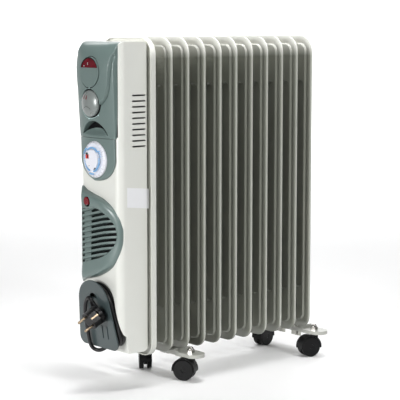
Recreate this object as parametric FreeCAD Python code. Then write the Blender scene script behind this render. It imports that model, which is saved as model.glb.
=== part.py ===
import FreeCAD, Part
import math
import os
from FreeCAD import Vector

# Oil filled radiator heater: eleven joined fins, a control housing at the -X end,
# a cord winder under it, and two foot brackets with four twin wheel casters.
# Millimetres, +Z up, floor at z = 0. Everything is laid out from the middle of the
# row of fins, and save() moves it so that the origin is under the middle of the box.

os.makedirs("parts", exist_ok=True)

# ---------------------------------------------------------------- driving sizes
# Fins: two pressed sheets seam welded at the rim, swollen in the middle
FIN_COUNT = 11
FIN_PITCH = 39.0
FIN_HALF_DEPTH = 73.0
FIN_BOTTOM = 58.0
FIN_HEIGHT = 580.0
FIN_SEAM = 2.4
FIN_SWELL = 9.0
FIN_RIM = 14.0
FIN_BEVEL = 2.2
FIN_BOTTOM_RADIUS = 25.0
FIN_TOP_RADIUS = 30.0
GROOVE_WIDTH = 21.0
GROOVE_TAPER = 3.0
GROOVE_DEPTH = 2.6
GROOVE_SPACING = 42.0
GROOVE_RISE = 80.0
GROOVE_LENGTH = 415.0
HUB_RADIUS = 20.0
HUB_BORE = 13.0
LOWER_HUB_RISE = 54.0
UPPER_HUB_RISE = 526.0
END_STUB = 17.0
FLANGE_WALL = 1.5
FLANGE_GAP = 1.5
FLANGE_DROP = 13.0
FLANGE_GUSSET = 17.0
FLANGE_GUSSET_HEIGHT = 33.0
FIRST_FLANGE = 9.5

# Sheet steel housing
SHEET = 1.5
HOUSING_GAP = 9.0
HOUSING_DEPTH = 63.0
HOUSING_HALF_WIDTH = 60.0
HOUSING_BOTTOM = 68.0
HOUSING_HEIGHT = 563.0
HOUSING_CORNER = 14.0
HOUSING_REAR_CORNER = 10.0
VENT_COUNT = 10
VENT_PITCH = 10.15
VENT_HEIGHT = 3.0
VENT_LENGTH = 30.0
VENT_FRONT = 30.0
VENT_FIRST_Z = 444.5

# Moulded front
WALL = 2.5
PANEL_BOTTOM = 461.5
PANEL_HALF_WIDTH = 57.0
PANEL_ROLL = 30.0
HOUSING_EDGE = 13.0
SEAT_GAP = 0.1
PANEL_CREST = 15.5
PANEL_SHOULDER_DROP = 6.0
PANEL_SHOULDER = 45.0
PANEL_LIP = 3.0
SHOULDER_BULGE = 2.0
TONGUE_RISE = 3.5
KNOB_Z = 521.5
KNOB_RADIUS = 24.0
KNOB_HEIGHT = 9.0
DISH_RADIUS = 25.5
DISH_DEPTH = 3.5
DISC_Z = 577.0
DISC_RADIUS = 27.5
DISC_THICKNESS = 4.0
DISC_PROUD = 2.0
DISC_RIM = 0.8
GRIP_HALF_WIDTH = 38.0
GRIP_HEIGHT = 26.0
GRIP_BACK = 17.0
GRIP_LINING = 2.0
MOUND_RISE = 11.0
MOUND_DEPTH = 6.5
SHAFT_RADIUS = 3.0
RUNNING_CLEARANCE = 0.05

# Timer
TIMER_Z = 420.0
TIMER_TOP = 461.0
TIMER_HALF_WIDTH = 56.0
TIMER_DROP = 45.0
TIMER_FRONT = 9.0
TIMER_CROWN = 7.0
TIMER_SKIRT = 4.0
TIMER_UNDERCUT = 3.0
RING_RADIUS = 33.0
RING_FRONT = 13.0
RING_LEDGE = 3.0
RING_BEVEL = 3.0
TAPPET_COUNT = 48
TAPPET_LENGTH = 4.3
TAPPET_WIDTH = 2.3
TAPPET_OUT = 4.6
TAPPET_PROUD = 2.0
CENTRE_RADIUS = 18.6
CENTRE_PROUD = 5.0
BOSS_RADIUS = 18.8
TIMER_CASE_DEPTH = 20.0

# Fan
FAN_Z = 283.0
GRILLE_FRONT = 14.0
BLADE_COUNT = 10
BLADE_PITCH = 9.75
BLADE_THICKNESS = 4.2
BLADE_TILT = 13.0
BLADE_LOWEST = 238.0
BUTTON_Y = 22.0
BUTTON_Z = 342.5
BUTTON_RADIUS = 7.5
BUTTON_TRAVEL = 3.0
SCROLL_RADIUS = 42.0
IMPELLER_RADIUS = 38.0
MOTOR_RADIUS = 18.0
MOTOR_LENGTH = 24.0
MOTOR_SHAFT = 1.5

# Cord winder, in a scoop that leans back by WINDER_LEAN from z = WINDER_TOP downwards
WINDER_TOP = 200.0
WINDER_LEAN = 8.5
FLAP_GAP = 18.5
FLAP_THICKNESS = 2.5
FLAP_ARCH = 46.0
FLAP_ARCH_CENTRE = -43.0
FLAP_FLARE = 9.5
FLAP_BOTTOM = -124.0
SCOOP_ARCH = 44.0
SCOOP_ARCH_CENTRE = -46.0
SCOOP_FLARE = 15.0
RIB_PLACES = (-31.0, -16.0)
RIB_BOTTOM = -104.0
RIB_TOP = -80.0
RIB_PROUD = 1.2
COIL_CLEARANCE = 2.5
COIL_BOTTOM = -122.0
COIL_CORNER = 26.0
COIL_HOLE_HALF_WIDTH = 25.0
CORE_HALF_WIDTH = 17.0
CORE_TOP = -34.0
CORE_HEIGHT = 42.0
CORD_RADIUS = 3.6
GLAND_U = -86.5
GLAND_Y = -8.0

# Plug: the neck's free end and the middle of the pins' roots, from the fins' middle
PIN_ROOT = Vector(-310.0, -23.5, 130.5)
PIN_AXIS = Vector(-0.882, 0.0, -0.471)
PIN_RADIUS = 2.4
PIN_SHANK_RADIUS = 2.0
PIN_SHANK_DEPTH = 8.0
PIN_SHOULDER = 0.5
PIN_LENGTH = 19.0
PIN_SPACING = 19.0
STRIP_WIDTH = 2.6
NECK_END = Vector(-290.0, -6.0, 161.0)

# Feet and casters
FOOT_WIDTH = 37.0
FRONT_FOOT_X = -110.0
REAR_FOOT_X = 211.5
EAR_TOP = 53.0
FOOT_SHEET = 2.0
FOOT_HALF_LENGTH = 100.0
FOOT_FLOOR = 46.5
CHANNEL_HALF_LENGTH = 55.0
STEM_Y = 70.0
STEM_RADIUS = 4.0
COLLAR_RADIUS = 8.0
WHEEL_RADIUS = 20.0
WHEEL_WIDTH = 8.5
WEB_WIDTH = 6.0
WHEEL_GAP = 0.5
CASTER_OFFSET = 12.0
AXLE_RADIUS = 2.5
U_BOLT_RADIUS = 3.0
NUT_HEIGHT = 11.0
NUT_RADIUS = 7.6

# ---------------------------------------------------------------- worked out
FIN_TOP = FIN_BOTTOM + FIN_HEIGHT
LOWER_HUB_Z = FIN_BOTTOM + LOWER_HUB_RISE
UPPER_HUB_Z = FIN_BOTTOM + UPPER_HUB_RISE
FIRST_FIN_X = -FIN_PITCH * (FIN_COUNT - 1) / 2
LAST_FIN_X = -FIRST_FIN_X
REAR = FIRST_FIN_X - HOUSING_GAP
FRONT = REAR - HOUSING_DEPTH
HOUSING_TOP = HOUSING_BOTTOM + HOUSING_HEIGHT
INSIDE_FRONT = FRONT + SHEET
BACK_FACE = REAR - SHEET
PANEL_LOW = FRONT - PANEL_CREST
PANEL_HIGH = PANEL_LOW - TONGUE_RISE
KNOB_BACK = PANEL_LOW - 0.5
KNOB_FRONT = KNOB_BACK - KNOB_HEIGHT
DISC_FRONT = PANEL_HIGH - DISC_PROUD
DISC_BACK = DISC_FRONT + DISC_THICKNESS
RING_FACE = FRONT - RING_FRONT
LEDGE_FACE = RING_FACE + RING_LEDGE
GRILLE_FACE = FRONT - GRILLE_FRONT
BOX_SHIFT = -(KNOB_FRONT + REAR_FOOT_X + FOOT_WIDTH / 2) / 2


# ---------------------------------------------------------------- helpers
def save(shape, name):
    moved = shape.copy()
    moved.translate(Vector(BOX_SHIFT, 0, 0))
    moved.exportStep("parts/" + name + ".step")


def corner_arc(before, corner, after, radius):
    """Tangent points and middle point of a rounded corner."""
    into = (corner - before).normalize()
    out = (after - corner).normalize()
    turn = into.getAngle(out)
    reach = radius * math.tan(turn / 2)
    start = corner - into * reach
    end = corner + out * reach
    bisector = (out - into).normalize()
    middle = corner + bisector * (radius / math.cos(turn / 2) - radius)
    return start, middle, end


def rounded_wire(corners, place):
    """Closed wire through (a, b, radius) corners; place(a, b) gives the 3-D point."""
    points = [place(corner[0], corner[1]) for corner in corners]
    edges = []
    first = None
    last = None
    for index, corner in enumerate(corners):
        radius = corner[2] if len(corner) > 2 else 0
        if radius > 0:
            start, middle, end = corner_arc(points[index - 1], points[index],
                                            points[(index + 1) % len(points)], radius)
            arc = Part.Arc(start, middle, end).toShape()
        else:
            start = end = points[index]
            arc = None
        if last is not None and start.distanceToPoint(last) > 1e-6:
            edges.append(Part.LineSegment(last, start).toShape())
        if arc is not None:
            edges.append(arc)
        if first is None:
            first = start
        last = end
    if first.distanceToPoint(last) > 1e-6:
        edges.append(Part.LineSegment(last, first).toShape())
    return Part.Wire(edges)


def wire_yz(corners, x):
    return rounded_wire(corners, lambda a, b: Vector(x, a, b))


def prism_x(corners, x0, x1):
    return Part.Face(wire_yz(corners, x0)).extrude(Vector(x1 - x0, 0, 0))


def prism_y(corners, y0, y1):
    face = Part.Face(rounded_wire(corners, lambda a, b: Vector(a, y0, b)))
    return face.extrude(Vector(0, y1 - y0, 0))


def prism_z(corners, z0, z1):
    face = Part.Face(rounded_wire(corners, lambda a, b: Vector(a, b, z0)))
    return face.extrude(Vector(0, 0, z1 - z0))


def box(x0, x1, y0, y1, z0, z1):
    return Part.makeBox(x1 - x0, y1 - y0, z1 - z0, Vector(x0, y0, z0))


def rod_x(x0, x1, y, z, radius):
    return Part.makeCylinder(radius, x1 - x0, Vector(x0, y, z), Vector(1, 0, 0))


def rod_y(x, y0, y1, z, radius):
    return Part.makeCylinder(radius, y1 - y0, Vector(x, y0, z), Vector(0, 1, 0))


def rod_z(x, y, z0, z1, radius):
    return Part.makeCylinder(radius, z1 - z0, Vector(x, y, z0), Vector(0, 0, 1))


def frame_corners(half_width, bottom, top, bottom_radius, top_radius):
    return [(-half_width, bottom, bottom_radius), (half_width, bottom, bottom_radius),
            (half_width, top, top_radius), (-half_width, top, top_radius)]


def stadium(width, bottom, length, y):
    half = width / 2
    near = half - 0.01
    return [(y - half, bottom, near), (y + half, bottom, near),
            (y + half, bottom + length, near), (y - half, bottom + length, near)]


def fused(shapes):
    result = shapes[0].fuse(shapes[1:])
    return result.removeSplitter()


def bulge(start, end, height):
    """Arc from start to end that stands out on the left of the chord."""
    along = (end - start).normalize()
    middle = (start + end) * 0.5 + Vector(-along.y, along.x, 0) * height
    return Part.Arc(start, middle, end).toShape()


def crown(front, half_width, lip, base, z0, z1):
    """Bulged solid: short side walls, rounded shoulders, a shallow arc over the middle."""
    edge = front + PANEL_SHOULDER_DROP
    corners = [Vector(base, half_width, z0), Vector(FRONT - lip, half_width, z0),
               Vector(edge, PANEL_SHOULDER, z0), Vector(edge, -PANEL_SHOULDER, z0),
               Vector(FRONT - lip, -half_width, z0), Vector(base, -half_width, z0)]
    edges = [Part.LineSegment(corners[0], corners[1]).toShape(),
             bulge(corners[1], corners[2], -SHOULDER_BULGE),
             Part.Arc(corners[2], Vector(front, 0, z0), corners[3]).toShape(),
             bulge(corners[3], corners[4], -SHOULDER_BULGE),
             Part.LineSegment(corners[4], corners[5]).toShape(),
             Part.LineSegment(corners[5], corners[0]).toShape()]
    return Part.Face(Part.Wire(edges)).extrude(Vector(0, 0, z1 - z0))


# ---------------------------------------------------------------- fins
def fin_outline(inset):
    return frame_corners(FIN_HALF_DEPTH - inset, FIN_BOTTOM + inset, FIN_TOP - inset,
                         FIN_BOTTOM_RADIUS - inset, FIN_TOP_RADIUS - inset)


def swollen_pad():
    half = FIN_SWELL / 2
    corners = frame_corners(FIN_HALF_DEPTH - FIN_RIM, FIN_BOTTOM + FIN_RIM, FIN_TOP - FIN_RIM,
                            FIN_RIM, FIN_TOP_RADIUS - FIN_RIM)
    pad = prism_x(corners, -half, half)
    rims = [edge for edge in pad.Edges if edge.BoundBox.XLength < 0.01]
    return pad.makeChamfer(FIN_BEVEL, rims)


def groove(side, y):
    bottom = FIN_BOTTOM + GROOVE_RISE
    face = side * FIN_SWELL / 2
    outer = wire_yz(stadium(GROOVE_WIDTH, bottom, GROOVE_LENGTH, y), face)
    floor_width = GROOVE_WIDTH - 2 * GROOVE_TAPER
    floor_length = GROOVE_LENGTH - 2 * GROOVE_TAPER
    floor = wire_yz(stadium(floor_width, bottom + GROOVE_TAPER, floor_length, y),
                    face - side * GROOVE_DEPTH)
    return Part.makeLoft([outer, floor], True, True)


def top_flange(reach):
    """Band folded from the seam towards -X over the top, rounded where it leaves the seam."""
    seam = -FIN_SEAM / 2
    lip = FIN_TOP - FLANGE_DROP
    root = lip - FLANGE_GUSSET_HEIGHT
    band = prism_x(fin_outline(0), -reach, seam).cut(prism_x(fin_outline(FLANGE_WALL), -reach, seam))
    corners = [Vector(seam, 0, root), Vector(seam - FLANGE_GUSSET, 0, lip), Vector(-reach, 0, lip),
               Vector(-reach, 0, FIN_TOP), Vector(seam, 0, FIN_TOP)]
    middle = Vector(seam - FLANGE_GUSSET * 0.34, 0, lip - FLANGE_GUSSET_HEIGHT * 0.36)
    edges = [Part.Arc(corners[0], middle, corners[1]).toShape()]
    for start, end in zip(corners[1:], corners[2:] + corners[:1]):
        edges.append(Part.LineSegment(start, end).toShape())
    taper = Part.Face(Part.Wire(edges)).extrude(Vector(0, 2 * FIN_HALF_DEPTH, 0))
    taper.translate(Vector(0, -FIN_HALF_DEPTH, 0))
    return band.common(taper)


def fin(index):
    first = index == 0
    last = index == FIN_COUNT - 1
    half_seam = FIN_SEAM / 2
    half_swell = FIN_SWELL / 2
    half_gap = FIN_PITCH / 2
    left = HOUSING_GAP if first else half_gap
    solids = [prism_x(fin_outline(0), -half_seam, half_seam), swollen_pad()]
    if first:
        rim = prism_x(fin_outline(0), -FIRST_FLANGE, 0)
        solids.append(rim.cut(prism_x(fin_outline(FLANGE_WALL), -FIRST_FLANGE, 0)))
    else:
        solids.append(top_flange(FIN_PITCH - half_seam - FLANGE_GAP))
    cuts = [groove(side, y) for side in (-1, 1)
            for y in (-GROOVE_SPACING, 0, GROOVE_SPACING)]
    body = fused(solids).cut(cuts)
    ends = {LOWER_HUB_Z: END_STUB if last else half_gap,
            UPPER_HUB_Z: half_swell if last else half_gap}
    for z, right in ends.items():
        body = body.fuse(rod_x(-left, right, 0, z, HUB_RADIUS))
        stop = half_swell - FLANGE_WALL if last else right
        body = body.cut(rod_x(-left, stop, 0, z, HUB_BORE))
    body = body.removeSplitter()
    body.translate(Vector(FIRST_FIN_X + index * FIN_PITCH, 0, 0))
    return body


def heating_element():
    """Screwed brass head with a hairpin tube that runs through the lower hubs."""
    head = 4.0
    length = 290.0
    tube = 4.0
    spread = 6.5
    x0 = BACK_FACE
    flange = Part.Face(Part.makePolygon([Vector(x0 - head, 19 * math.cos(math.radians(60 * i)),
                                                LOWER_HUB_Z + 19 * math.sin(math.radians(60 * i)))
                                         for i in range(7)])).extrude(Vector(head, 0, 0))
    stub = rod_x(x0, x0 + 14, 0, LOWER_HUB_Z, HUB_BORE - RUNNING_CLEARANCE)
    legs = [rod_x(x0 - head - 14, x0 + length, y, LOWER_HUB_Z, tube) for y in (-spread, spread)]
    bend = Part.makeTorus(spread, tube, Vector(x0 + length, 0, LOWER_HUB_Z), Vector(0, 0, 1))
    bend = bend.common(box(x0 + length, x0 + length + 2 * spread, -2 * spread, 2 * spread,
                           LOWER_HUB_Z - tube, LOWER_HUB_Z + tube))
    return fused([flange, stub] + legs + [bend])


def filler_plug():
    head = 5.0
    z = UPPER_HUB_Z
    ring = [Vector(BACK_FACE - head, 17 * math.cos(math.radians(60 * i)),
                   z + 17 * math.sin(math.radians(60 * i))) for i in range(7)]
    hexagon = Part.Face(Part.makePolygon(ring)).extrude(Vector(head, 0, 0))
    stub = rod_x(BACK_FACE, BACK_FACE + 14, 0, z, HUB_BORE - RUNNING_CLEARANCE)
    return fused([hexagon, stub])


# ---------------------------------------------------------------- leaning frame
def lean(shape):
    """From the flat winder frame (front -X, up +Z, scoop floor at x = 0) to its place."""
    placed = shape.copy()
    placed.rotate(Vector(0, 0, 0), Vector(0, 1, 0), -WINDER_LEAN)
    placed.translate(Vector(FRONT, 0, WINDER_TOP))
    return placed


def arch(radius, centre, flare, bottom, corner):
    """Arch over two flared sides, closed by a straight bottom."""
    slope = math.radians(flare)
    apex = centre + radius / math.sin(slope)
    half = (apex - bottom) * math.tan(slope)
    return [(0, apex, radius), (half, bottom, corner), (-half, bottom, corner)]


def scoop(grow):
    bottom = -(WINDER_TOP - HOUSING_BOTTOM) - 20
    corners = arch(SCOOP_ARCH + grow, SCOOP_ARCH_CENTRE, SCOOP_FLARE, bottom, 0)
    return lean(prism_x(corners, -60, grow))


# ---------------------------------------------------------------- housing
def housing_block(inset):
    half = HOUSING_HALF_WIDTH - inset
    front = FRONT + inset
    rear = REAR - inset
    bottom = HOUSING_BOTTOM + inset
    top = HOUSING_TOP - inset
    corner = HOUSING_CORNER - inset
    rear_corner = HOUSING_REAR_CORNER - inset
    plan = [(front, -half, corner), (rear, -half), (rear, half), (front, half, corner)]
    edge = HOUSING_EDGE - inset
    side = [(front, bottom), (rear, bottom, rear_corner), (rear, top, rear_corner),
            (front, top, edge)]
    return prism_z(plan, bottom, top).common(prism_y(side, -half, half))


def rear_opening():
    half = HOUSING_HALF_WIDTH - SHEET
    bottom = HOUSING_BOTTOM + HOUSING_REAR_CORNER
    top = HOUSING_TOP - HOUSING_REAR_CORNER
    return half, bottom, top


def housing_shell():
    half, bottom, top = rear_opening()
    body = housing_block(0).cut(scoop(0))
    inside = housing_block(SHEET).cut(scoop(SHEET))
    cuts = [inside, box(BACK_FACE - 1, REAR + 1, -half, half, bottom, top)]
    cuts.append(prism_x(frame_corners(46, PANEL_BOTTOM - 1, HOUSING_TOP - HOUSING_EDGE - 2, 8, 20),
                        FRONT - 1, FRONT + 5))
    cuts.append(rod_x(FRONT - 1, FRONT + 5, 0, TIMER_Z, RING_RADIUS))
    cuts.append(rod_x(FRONT - 1, FRONT + 5, 0, FAN_Z, SCROLL_RADIUS - SHEET))
    cuts.append(rod_x(FRONT - 1, FRONT + 5, BUTTON_Y, BUTTON_Z, BUTTON_RADIUS - 1.5))
    for index in range(VENT_COUNT):
        z = VENT_FIRST_Z + index * VENT_PITCH
        cuts.append(box(FRONT + VENT_FRONT, FRONT + VENT_FRONT + VENT_LENGTH,
                        -HOUSING_HALF_WIDTH - 1, HOUSING_HALF_WIDTH + 1,
                        z - VENT_HEIGHT / 2, z + VENT_HEIGHT / 2))
    return body.cut(cuts).removeSplitter()


def housing_back():
    half, bottom, top = rear_opening()
    plate = box(BACK_FACE, REAR, -half, half, bottom, top)
    holes = [rod_x(BACK_FACE - 1, REAR + 1, 0, z, HUB_BORE) for z in (LOWER_HUB_Z, UPPER_HUB_Z)]
    return plate.cut(holes)


# ---------------------------------------------------------------- upper front
def panel_outline(inset):
    return frame_corners(PANEL_HALF_WIDTH - inset, PANEL_BOTTOM + inset, HOUSING_TOP, 0, 0)


def rolled(front, inset):
    """Side view of the panel: upright front that rolls back over the housing's top edge."""
    top = HOUSING_TOP - inset
    half = HOUSING_HALF_WIDTH
    back = FRONT + HOUSING_EDGE - inset
    roll = back - front
    corners = [(front, PANEL_BOTTOM), (back, PANEL_BOTTOM), (back, top), (front, top, roll - 0.01)]
    return prism_y(corners, -half, half)


def tongue():
    """Raised field that narrows from the top of the panel down to the knob."""
    half = PANEL_HALF_WIDTH
    side = [(half, HOUSING_TOP), (half, DISC_Z + 31), (53.5, DISC_Z - 8), (46, DISC_Z - 34),
            (34, KNOB_Z + 1.5), (DISH_RADIUS - 2, KNOB_Z - 1)]
    corners = [(y, z) for y, z in side]
    corners += [(-y, z) for y, z in reversed(side)]
    return prism_x(corners, PANEL_HIGH - 5, FRONT + HOUSING_EDGE)


def grip_column(grow, x0, x1):
    """Arched opening of the hand hold, x0 to x1."""
    half = GRIP_HALF_WIDTH + grow
    height = GRIP_HEIGHT + 2 * grow
    base = PANEL_BOTTOM + WALL - grow
    left = Vector(x0, -half, base)
    right = Vector(x0, half, base)
    curve = Part.Arc(left, Vector(x0, 0, base + height), right).toShape()
    wire = Part.Wire([curve, Part.LineSegment(right, left).toShape()])
    return Part.Face(wire).extrude(Vector(x1 - x0, 0, 0))


def hand_mound():
    """Slope inside the hand hold that rises from the front to a curved crest."""
    half = GRIP_HALF_WIDTH
    base = PANEL_BOTTOM + WALL
    wires = []
    for x, rise in ((PANEL_LOW - 2.5, 1), (PANEL_LOW + MOUND_DEPTH, MOUND_RISE)):
        left = Vector(x, -half, base)
        right = Vector(x, half, base)
        curve = Part.Arc(left, Vector(x, 0, base + rise), right).toShape()
        wires.append(Part.Wire([curve, Part.LineSegment(right, left).toShape()]))
    return Part.makeLoft(wires, True, True)


def control_panel():
    wide = PANEL_HALF_WIDTH + 1
    back = FRONT + HOUSING_EDGE + 1
    low = crown(PANEL_LOW, wide, PANEL_LIP, back, PANEL_BOTTOM, HOUSING_TOP)
    low = low.common(rolled(PANEL_LOW, 0))
    high = crown(PANEL_HIGH, wide, PANEL_LIP + TONGUE_RISE, back, PANEL_BOTTOM, HOUSING_TOP)
    high = high.common(rolled(PANEL_HIGH, 0)).common(tongue())
    outline = prism_x(panel_outline(0), PANEL_HIGH - 5, back)
    body = low.fuse(high).common(outline)
    hollow = crown(PANEL_LOW + WALL, wide, PANEL_LIP - 2, FRONT, PANEL_BOTTOM, HOUSING_TOP)
    hollow = hollow.common(rolled(PANEL_LOW + WALL, WALL))
    hollow = hollow.common(prism_x(panel_outline(WALL), PANEL_HIGH - 5, FRONT))
    body = body.cut([hollow, housing_block(-SEAT_GAP)])
    pocket_back = FRONT + GRIP_BACK
    lining = grip_column(GRIP_LINING, PANEL_LOW - 1, FRONT).common(low)
    pocket = grip_column(GRIP_LINING, FRONT, pocket_back + GRIP_LINING)
    seat = rod_x(DISC_BACK, DISC_BACK + WALL, 0, DISC_Z, DISC_RADIUS + 3)
    dish_floor = PANEL_HIGH + DISH_DEPTH
    boss = rod_x(dish_floor, dish_floor + WALL + 2, 0, KNOB_Z, DISH_RADIUS)
    body = body.fuse([lining, pocket, seat, boss])
    grip = grip_column(0, PANEL_HIGH - 10, pocket_back).cut(hand_mound())
    dish = rod_x(PANEL_HIGH - 5, dish_floor, 0, KNOB_Z, DISH_RADIUS)
    shaft_hole = rod_x(PANEL_HIGH - 5, FRONT, 0, KNOB_Z, SHAFT_RADIUS + 1)
    disc_seat = rod_x(PANEL_HIGH - 5, DISC_BACK, 0, DISC_Z, DISC_RADIUS + 0.2)
    lamp_hole = rod_x(PANEL_HIGH - 5, FRONT, 0, DISC_Z + 17, 4)
    return body.cut([grip, dish, shaft_hole, disc_seat, lamp_hole]).removeSplitter()


def half_moon(radius, x0, x1):
    """Part of the disc above its window sill."""
    sill = DISC_Z + 8
    disc = rod_x(x0, x1, 0, DISC_Z, radius)
    return disc.common(box(x0, x1, -radius, radius, sill, DISC_Z + radius))


def panel_disc():
    disc = rod_x(DISC_FRONT, DISC_BACK, 0, DISC_Z, DISC_RADIUS)
    return disc.cut(half_moon(DISC_RADIUS - DISC_RIM, DISC_FRONT - 1, DISC_BACK + 1))


def pilot_lens():
    return half_moon(DISC_RADIUS - DISC_RIM - 0.2, DISC_FRONT + 0.5, DISC_BACK)


def pilot_lamp():
    z = DISC_Z + 17
    back = PANEL_LOW + WALL + 2 * SEAT_GAP
    glass = rod_x(DISC_BACK, back + 8, 0, z, 3)
    flange = rod_x(back, back + 3, 0, z, 6)
    return fused([glass, flange])


def selector_knob():
    """Domed knob and its shaft."""
    rim = 4.0
    dome_height = KNOB_HEIGHT - rim
    ball = (KNOB_RADIUS ** 2 + dome_height ** 2) / (2 * dome_height)
    dome = Part.makeSphere(ball, Vector(KNOB_FRONT + ball, 0, KNOB_Z))
    cap = rod_x(KNOB_FRONT - 1, KNOB_BACK, 0, KNOB_Z, KNOB_RADIUS).common(dome)
    shaft = rod_x(KNOB_BACK - 1, FRONT + 12, 0, KNOB_Z, SHAFT_RADIUS)
    return fused([cap, shaft])


def thermostat():
    """Bimetal thermostat and power selector in one case behind the knob."""
    bush_front = PANEL_HIGH + DISH_DEPTH + WALL + 2
    case = box(FRONT + 3, FRONT + 26, -17, 17, KNOB_Z - 20, KNOB_Z + 20)
    bush = rod_x(bush_front, FRONT + 4, 0, KNOB_Z, 6)
    bore = rod_x(bush_front - 1, FRONT + 13, 0, KNOB_Z, SHAFT_RADIUS + RUNNING_CLEARANCE)
    tabs = [box(FRONT + 25, FRONT + 33, y, y + 0.8, KNOB_Z - 3, KNOB_Z + 3) for y in (-12, 0, 11)]
    return fused([case, bush] + tabs).cut(bore)


# ---------------------------------------------------------------- timer
def timer_outline(inset, x):
    half = TIMER_HALF_WIDTH - inset
    top = TIMER_TOP - inset
    corners = [Vector(x, -half, TIMER_Z), Vector(x, -half, top),
               Vector(x, half, top), Vector(x, half, TIMER_Z)]
    edges = [Part.LineSegment(a, b).toShape() for a, b in zip(corners, corners[1:])]
    bowl = Part.Ellipse(Vector(x, half, TIMER_Z), Vector(x, 0, TIMER_Z - TIMER_DROP + inset),
                        Vector(x, 0, TIMER_Z))
    arc = bowl.toShape().common(box(x - 1, x + 1, -half - 1, half + 1,
                                    TIMER_Z - TIMER_DROP - 1, TIMER_Z))
    return Part.Wire(Part.__sortEdges__(edges + arc.Edges))


def timer_slab(inset, x0, x1):
    return Part.Face(timer_outline(inset, x0)).extrude(Vector(x1 - x0, 0, 0))


def timer_crown(face, back):
    """Plan of the timer panel: shallow arc that falls back to both sides."""
    z0 = TIMER_Z - TIMER_DROP - 1
    half = TIMER_HALF_WIDTH + 1
    side = face + TIMER_CROWN
    ends = [Vector(side, -half, z0), Vector(side, half, z0)]
    rear = [Vector(back, half, z0), Vector(back, -half, z0)]
    edges = [Part.Arc(ends[0], Vector(face, 0, z0), ends[1]).toShape()]
    for start, end in zip([ends[1]] + rear, rear + [ends[0]]):
        edges.append(Part.LineSegment(start, end).toShape())
    return Part.Face(Part.Wire(edges)).extrude(Vector(0, 0, TIMER_TOP - z0 + 1))


def timer_panel():
    face = FRONT - TIMER_FRONT
    back = FRONT + HOUSING_CORNER
    skin = timer_crown(face, back).cut(timer_crown(face + TIMER_SKIRT, back + 1))
    plate = timer_slab(0, face - 1, back).common(skin)
    foot = timer_slab(TIMER_UNDERCUT, face - 1, FRONT).common(timer_crown(face + WALL, back))
    hollow = timer_slab(TIMER_UNDERCUT + WALL, face - 1, back)
    hollow = hollow.common(timer_crown(face + WALL, back))
    window = rod_x(face - 1, FRONT + 1, 0, TIMER_Z, RING_RADIUS + 0.5)
    return fused([plate, foot]).cut([hollow, window, housing_block(-SEAT_GAP)])


def timer_case():
    case = rod_x(INSIDE_FRONT, INSIDE_FRONT + TIMER_CASE_DEPTH, 0, TIMER_Z, RING_RADIUS + 3)
    boss = rod_x(RING_FACE + 1, INSIDE_FRONT, 0, TIMER_Z, BOSS_RADIUS)
    motor = rod_x(INSIDE_FRONT + TIMER_CASE_DEPTH, INSIDE_FRONT + TIMER_CASE_DEPTH + 10,
                  12, TIMER_Z + 8, 9)
    return fused([case, boss, motor])


def timer_ring():
    back = FRONT
    ring = rod_x(RING_FACE, back, 0, TIMER_Z, RING_RADIUS)
    rims = [edge for edge in ring.Edges
            if edge.BoundBox.XLength < 0.01 and edge.BoundBox.XMax < RING_FACE + 0.1]
    ring = ring.makeChamfer(RING_BEVEL, rims)
    bore = rod_x(RING_FACE - 1, back + 1, 0, TIMER_Z, BOSS_RADIUS + RUNNING_CLEARANCE)
    reach = BOSS_RADIUS + TAPPET_LENGTH + TAPPET_OUT + 0.8
    ledge = rod_x(RING_FACE - 1, LEDGE_FACE, 0, TIMER_Z, reach)
    return ring.cut([bore, ledge])


def timer_tappets():
    """One tappet for each half hour; the ones pushed outwards switch the heater on."""
    inner = BOSS_RADIUS + 0.4
    front = RING_FACE - TAPPET_PROUD
    solids = []
    for index in range(TAPPET_COUNT):
        pushed = TAPPET_OUT if index % 16 in (3, 4, 5, 6) else 0
        block = box(front, LEDGE_FACE, inner + pushed, inner + pushed + TAPPET_LENGTH,
                    -TAPPET_WIDTH / 2, TAPPET_WIDTH / 2)
        block.rotate(Vector(0, 0, 0), Vector(1, 0, 0), 360 * index / TAPPET_COUNT)
        block.translate(Vector(0, 0, TIMER_Z))
        solids.append(block)
    return Part.makeCompound(solids)


def timer_centre():
    front = RING_FACE - CENTRE_PROUD
    disc = rod_x(front, RING_FACE + 1, 0, TIMER_Z, CENTRE_RADIUS)
    rims = [edge for edge in disc.Edges
            if edge.BoundBox.XLength < 0.01 and edge.BoundBox.XMax < front + 0.1]
    disc = disc.makeChamfer(1.0, rims)
    slot = box(front - 1, front + 1.5, 4, 16, TIMER_Z + 1, TIMER_Z + 9)
    return disc.cut(slot)


def timer_switch():
    front = RING_FACE - CENTRE_PROUD
    foot = box(front, front + 1.5, 9.5, 15.5, TIMER_Z + 1.3, TIMER_Z + 8.7)
    key = box(front - 1.6, front, 10.5, 14.5, TIMER_Z + 2, TIMER_Z + 8)
    return fused([foot, key])


# ---------------------------------------------------------------- fan front
def grille_outline(inset):
    """Drop shaped bezel, straight on its far side, wrapping towards the near corner."""
    return [(53 - inset, 366 - inset), (0, 354 - inset, 120), (-60 + inset, 330 - inset, 28 - inset),
            (-60 + inset, 240 + inset, 45 - inset), (20, 198 + inset, 50), (53 - inset, 191 + inset)]


def grille_front_outline(inset):
    return [(51 - inset, 360 - inset), (0, 349 - inset, 120), (-60 + inset, 324 - inset, 28 - inset),
            (-60 + inset, 249 + inset, 45 - inset), (20, 207 + inset, 50), (51 - inset, 200 + inset)]


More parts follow.
